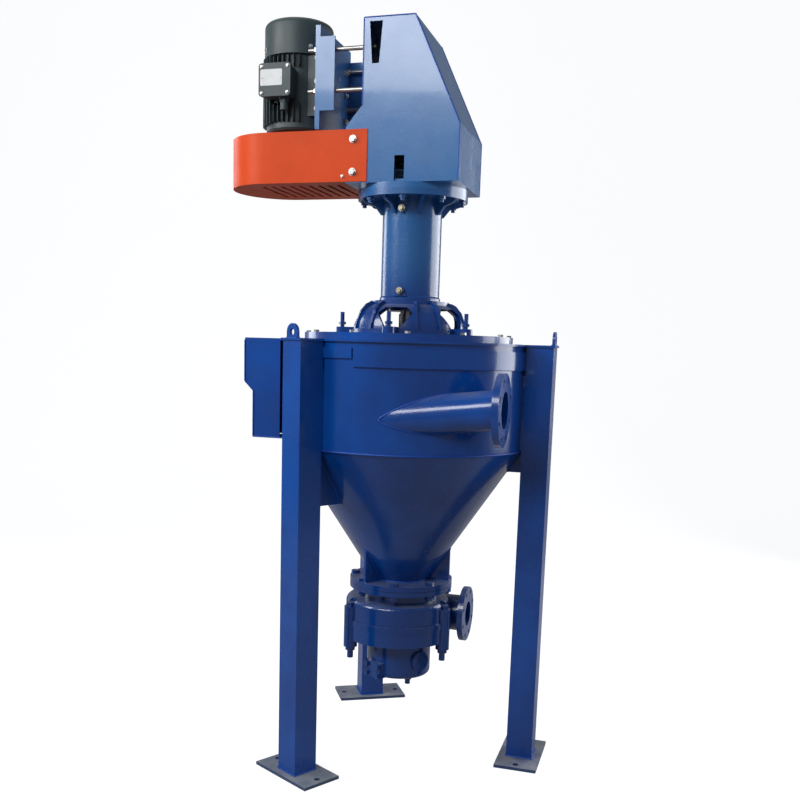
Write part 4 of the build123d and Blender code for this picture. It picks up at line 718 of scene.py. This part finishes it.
class PUMP_OT_motor_trim(Operator):
    """Adds the blank plate and the screws of the motor's terminal box and cowl"""

    bl_idname = "pump.motor_trim"
    bl_label = "Motor trim"

    def execute(self, context):
        detail = context.scene.pump_detail
        low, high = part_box("terminal_box")
        face_y = low[1]
        middle_x, middle_z = (low[0] + high[0]) / 2, high[2] - TERMINAL_HEIGHT / 2
        corner_x, corner_z = 0.051, 0.046
        bm = bmesh.new()
        for x in (-corner_x, corner_x):
            for z in (-corner_z, corner_z):
                hexagon_screw(bm, (middle_x + x, face_y, middle_z + z), (0, -1, 0), detail.screw_r * 0.75)
        cowl_r, screw_z, first_deg = 0.1305, 2.681, -49.0
        for i in range(4):
            turn = math.radians(first_deg + 90.0 * i)
            out = (math.cos(turn), math.sin(turn), 0.0)
            hexagon_screw(bm, (MOTOR_X + cowl_r * out[0], cowl_r * out[1], screw_z), out, detail.screw_r)
        add_piece("motor_screws", bm, "motor_carriage", "zinc", flat=True)
        bm = bmesh.new()
        plate_x, plate_z = middle_x - 0.0125, 2.5535
        middle = (plate_x, face_y - detail.plate_t / 2, plate_z)
        size = (detail.plate_w, detail.plate_t, detail.plate_h)
        bmesh.ops.create_cube(bm, size=1.0, matrix=Matrix.LocRotScale(middle, None, size))
        upright = [e for e in bm.edges if abs(e.verts[0].co.y - e.verts[1].co.y) > detail.plate_t / 2]
        bmesh.ops.bevel(bm, geom=upright, offset=0.005, segments=4, affect="EDGES", profile=0.5)
        rim = [e for e in bm.edges if all(v.co.y < face_y - 0.9 * detail.plate_t for v in e.verts)]
        bmesh.ops.bevel(bm, geom=rim, offset=0.0003, segments=2, affect="EDGES", profile=0.5)
        finish = blank_plate(context.scene.pump_paint)
        add_piece("terminal_plate", bm, "motor_carriage", "zinc", finish, flat=True)
        bm = bmesh.new()
        for x in (plate_x - 0.037, plate_x + 0.037):
            hexagon_screw(bm, (x, face_y - detail.plate_t, plate_z), (0, -1, 0), detail.screw_r * 0.35)
        add_piece("plate_rivets", bm, "motor_carriage", "zinc")
        return {"FINISHED"}


def motor_fin(bm, turn, low_z, high_z, detail):
    """Adds one tapered fin with chamfered ends to a mesh, upright on the motor's barrel."""
    out = Vector((math.cos(turn), math.sin(turn), 0.0))
    side = Vector((-out.y, out.x, 0.0))
    half, tip = detail.fin_t / 2, detail.fin_tip
    rings = []
    chamfer = 0.006
    for z, cut in ((low_z, chamfer), (low_z + chamfer, 0.0), (high_z - chamfer, 0.0), (high_z, chamfer)):
        outline = [(detail.fin_root, half), (tip - cut - 0.001, 0.62 * half), (tip - cut, 0.30 * half)]
        outline += [(run, -wide) for run, wide in reversed(outline)]
        base = Vector((MOTOR_X, 0.0, z))
        rings.append([bm.verts.new(base + out * run + side * wide) for run, wide in outline])
    for first, second in zip(rings, rings[1:]):
        for k in range(len(first)):
            after = (k + 1) % len(first)
            bm.faces.new((first[k], first[after], second[after], second[k]))
    bm.faces.new(rings[0])
    bm.faces.new(rings[-1])


class PUMP_OT_motor_fins(Operator):
    """Adds the motor's front fins above and below the terminal box"""

    bl_idname = "pump.motor_fins"
    bl_label = "Motor fins"

    def execute(self, context):
        detail = context.scene.pump_detail
        frame_low, frame_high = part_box("motor_frame")
        box_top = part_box("terminal_box")[1][2]
        box_bottom = box_top - TERMINAL_HEIGHT
        bm = bmesh.new()
        fin_count, end_gap, box_gap = 6, 0.003, 0.005
        for i in range(fin_count):
            turn = math.radians(-90.0) + (i - (fin_count - 1) / 2) * detail.fin_pitch
            motor_fin(bm, turn, frame_low[2] + end_gap, box_bottom - box_gap, detail)
            motor_fin(bm, turn, box_top + box_gap, frame_high[2] - end_gap, detail)
        add_piece("motor_fins", bm, "motor_carriage", "motor_grey", flat=True)
        return {"FINISHED"}


class PUMP_OT_guard_screw(Operator):
    """Adds the small screw low on the guard's front, beside its bolts"""

    bl_idname = "pump.guard_screw"
    bl_label = "Guard screw"

    def execute(self, context):
        front_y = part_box("guard_wall")[0][1]
        bm = bmesh.new()
        # On the photo's line of sight to the screw, wherever the wall's front lies
        screw_x, screw_z, screw_r = -0.2255 - 0.36 * (front_y + 0.17), 2.1975, 0.0048
        hexagon_screw(bm, (screw_x, front_y, screw_z), (0, -1, 0), screw_r)
        add_piece("guard_screw", bm, "frame", "zinc", flat=True)
        return {"FINISHED"}


class PUMP_OT_belts(Operator):
    """Copies the V-belts with the rubber finish in place of the packed node"""

    bl_idname = "pump.belts"
    bl_label = "Belts"

    def execute(self, context):
        node = frame["nodes"]["v_belts"]
        mesh = node.data.copy()
        mesh.transform(node.matrix_world)
        mesh.materials.clear()
        mesh.materials.append(bpy.data.materials["belt_rubber"])
        belts = bpy.data.objects.new("belts", mesh)
        context.scene.collection.objects.link(belts)
        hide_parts("v_belts")
        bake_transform(belts)
        return {"FINISHED"}


class PUMP_PT_panel(Panel):
    """Sidebar panel with the pump's settings"""

    bl_label = "Froth pump"
    bl_space_type = "VIEW_3D"
    bl_region_type = "UI"
    bl_category = "Froth pump"

    def draw(self, context):
        for group in (context.scene.pump_stage, context.scene.pump_paint, context.scene.pump_detail):
            box = self.layout.box()
            for name in group.__annotations__:
                box.prop(group, name)
        for operator in OPERATORS:
            self.layout.operator(operator.bl_idname)


OPERATORS = (
    PUMP_OT_camera,
    PUMP_OT_stage,
    PUMP_OT_finishes,
    PUMP_OT_tank_welds,
    PUMP_OT_frame_welds,
    PUMP_OT_inlet_welds,
    PUMP_OT_motor_trim,
    PUMP_OT_motor_fins,
    PUMP_OT_guard_screw,
    PUMP_OT_belts,
)
CLASSES = (PumpStage, PumpPaint, PumpDetail, *OPERATORS, PUMP_PT_panel)


def register():
    """Adds the classes and the settings to Blender."""
    for item in CLASSES:
        bpy.utils.register_class(item)
    bpy.types.Scene.pump_stage = PointerProperty(type=PumpStage)
    bpy.types.Scene.pump_paint = PointerProperty(type=PumpPaint)
    bpy.types.Scene.pump_detail = PointerProperty(type=PumpDetail)


def unregister():
    """Takes the settings and the classes out of Blender."""
    del bpy.types.Scene.pump_detail
    del bpy.types.Scene.pump_paint
    del bpy.types.Scene.pump_stage
    for item in reversed(CLASSES):
        bpy.utils.unregister_class(item)


def main():
    """Dresses the pump."""
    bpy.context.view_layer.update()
    register()
    bpy.ops.pump.camera()
    bpy.ops.pump.stage()
    bpy.ops.pump.finishes()
    bpy.ops.pump.tank_welds()
    bpy.ops.pump.frame_welds()
    bpy.ops.pump.inlet_welds()
    bpy.ops.pump.motor_trim()
    bpy.ops.pump.motor_fins()
    bpy.ops.pump.guard_screw()
    bpy.ops.pump.belts()


if __name__ == "__main__":
    main()
